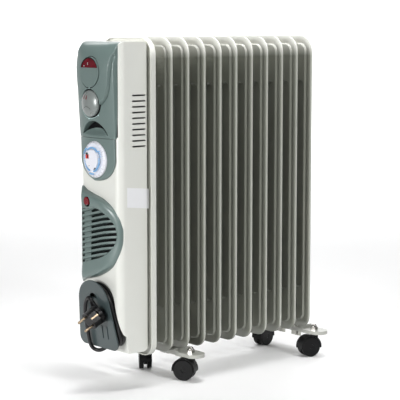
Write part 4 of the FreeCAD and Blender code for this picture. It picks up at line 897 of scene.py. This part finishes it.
# ---------------------------------------------------------------- cord
CORD_RADIUS = 0.0036
WINDER_X, WINDER_Z = -0.267, 0.200
WINDER_LEAN = math.radians(8.5)
START = [(-0.0072, 0.0245, -0.0865), (-0.0070, 0.0320, -0.0865), (-0.0060, 0.0405, -0.0850)]
TURNS = [(0.0036, 0.0036), (0.0109, 0.0036), (0.0108, 0.0108), (0.0037, 0.0108)]
LAST_TURN = 12                  # control points of the last turn before the tail leaves it
TAIL = [(-0.2603, -0.0330, 0.0820), (-0.2606, -0.0210, 0.0805), (-0.2614, -0.0095, 0.0745),
        (-0.2636, 0.0005, 0.0680), (-0.2665, 0.0100, 0.0655), (-0.2735, 0.0180, 0.0705),
        (-0.2768, 0.0210, 0.0830), (-0.2793, 0.0219, 0.0980), (-0.2820, 0.0225, 0.1150),
        (-0.2847, 0.0226, 0.1320), (-0.2868, 0.0205, 0.1460), (-0.2882, 0.0160, 0.1585),
        (-0.2894, 0.0080, 0.1673), (-0.2901, 0.0000, 0.1677), (-0.2900, -0.0060, 0.1610)]


def arch_loop(inset, layer):
    """One turn's control points in the winder's flat frame, far side first, going up.

    The turn is a round head, two sides that lean out by the slope, and a straight bottom
    between two corners. The inset draws it in, and the layer lifts it off the winder.
    """
    radius = 0.0415 - inset
    centre = -0.046
    slope = math.radians(15)
    bottom = -0.122 + inset
    corner = 0.026 - inset
    apex = centre + radius / math.sin(slope)
    side_top = centre + radius * math.sin(slope)
    side_bottom = bottom + corner * 1.35
    half = (apex - bottom) * math.tan(slope)
    points = []
    for share in (0.30, 0.72):
        u = side_bottom + (side_top - side_bottom) * share
        points.append(((apex - u) * math.tan(slope), u))
    turn = math.radians(30)
    outer = radius / math.cos(turn / 2)
    for i in range(6):
        angle = turn / 2 + i * turn
        points.append((outer * math.cos(angle), centre + outer * math.sin(angle)))
    for share in (0.28, 0.70):
        u = side_top + (side_bottom - side_top) * share
        points.append((-(apex - u) * math.tan(slope), u))
    rounding = ((0.10, 0.75), (0.42, 0.18), (1.1, 0.0))
    points += [(-half + corner * y, bottom + corner * u) for y, u in rounding]
    points.append((0.0, bottom))
    points += [(half - corner * y, bottom + corner * u) for y, u in reversed(rounding)]
    return [(-layer, y, u) for y, u in points]


def from_winder(flat):
    """From the winder's flat frame to the heater."""
    x, y, u = flat
    cos, sin = math.cos(WINDER_LEAN), math.sin(WINDER_LEAN)
    return Vector((x * cos - u * sin + WINDER_X + SHIFT, y, x * sin + u * cos + WINDER_Z))


def cord_points():
    """Control points from the gland round the winder and down the tail to the plug."""
    loops = [arch_loop(inset, layer) for inset, layer in TURNS]
    loops[0] = loops[0][1:]
    loops[-1] = loops[-1][:LAST_TURN]
    points = [from_winder(p) for p in START]
    for loop in loops:
        points += [from_winder(p) for p in loop]
    return points + [Vector((x + SHIFT, y, z)) for x, y, z in TAIL]


def add_cord(looks):
    points = cord_points()
    data = bpy.data.curves.new("cord_flex", "CURVE")
    data.dimensions = "3D"
    spline = data.splines.new("NURBS")
    spline.points.add(len(points) - 1)
    for point, place in zip(spline.points, points):
        point.co = (place.x, place.y, place.z, 1.0)
    spline.order_u = 3
    spline.use_endpoint_u = True
    data.resolution_u = 8
    data.bevel_depth = CORD_RADIUS
    data.bevel_resolution = 5
    data.use_fill_caps = True
    data.materials.append(looks["cord"])
    flex = link_new("cord_flex", data)
    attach(flex, "heater")
    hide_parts("cord_coil", "cord_tail")


# ---------------------------------------------------------------- studio
FLOOR_PROFILE = [(0.6, 0.0), (1.2, 0.0), (2.0, 0.0), (3.2, 0.0), (4.6, 0.0), (6.0, 0.0),
                 (6.8, 0.06), (7.4, 0.25), (7.9, 0.60), (8.2, 1.1), (8.35, 1.8), (8.4, 2.6)]


def add_light(name, place, target, size, power, spread=180.0):
    """Rectangular light, with its size in metres, its power in watts and its spread in degrees."""
    data = bpy.data.lights.new(name, "AREA")
    data.shape = "RECTANGLE"
    data.size, data.size_y = size
    data.energy = power
    data.spread = math.radians(spread)
    light = link_new(name, data)
    light.visible_camera = False
    aim(light, place, target)


def add_floor():
    """Floor that curves up all round, turned from its profile of (radius, height)."""
    around = 72
    points, faces = [(0.0, 0.0, 0.0)], []
    for radius, height in FLOOR_PROFILE:
        for i in range(around):
            angle = 2 * math.pi * i / around
            points.append((radius * math.cos(angle), radius * math.sin(angle), height))
    for i in range(around):
        j = (i + 1) % around
        faces.append((0, 1 + i, 1 + j))
        for ring in range(len(FLOOR_PROFILE) - 1):
            a, b = 1 + ring * around, 1 + (ring + 1) * around
            faces.append((a + i, b + i, b + j, a + j))
    card = finish("floor_card", lin(250, 250, 250), 0.7, 200.0, 10.0, 0.004, 3.0)
    floor = mesh_object("floor", points, faces, card)
    for face in floor.data.polygons:
        face.use_smooth = True


def add_studio():
    scene = bpy.context.scene
    scene.view_settings.view_transform = "Standard"
    world = bpy.data.worlds.new("studio")
    scene.world = world
    world.use_nodes = True
    back = world.node_tree.nodes["Background"]
    back.inputs["Color"].default_value = (0.95, 0.97, 1.0, 1.0)
    back.inputs["Strength"].default_value = 0.05
    add_light("key", (0.05, -3.2, 2.2), (0.0, 0.0, 0.35), (0.4, 1.4), 7.9, 60.0)
    add_light("top", (0.0, -0.2, 1.9), (0.0, 0.0, 0.6), (0.7, 0.5), 3.2, 70.0)
    add_light("left", (-3.0, -0.5, 0.8), (0.0, 0.0, 0.35), (0.8, 1.2), 4.6, 40.0)
    add_light("behind", (3.5, 4.0, 4.0), (3.5, 4.5, 0.0), (6.0, 6.0), 400.0)
    add_floor()


add_camera()
looks = make_materials()
dress_nodes(looks)
add_cord(looks)
add_control_panel(looks)
add_timer_panel(looks)
add_knob(looks)
add_dial(looks)
add_marks(looks)
add_grille(looks)
add_studio()
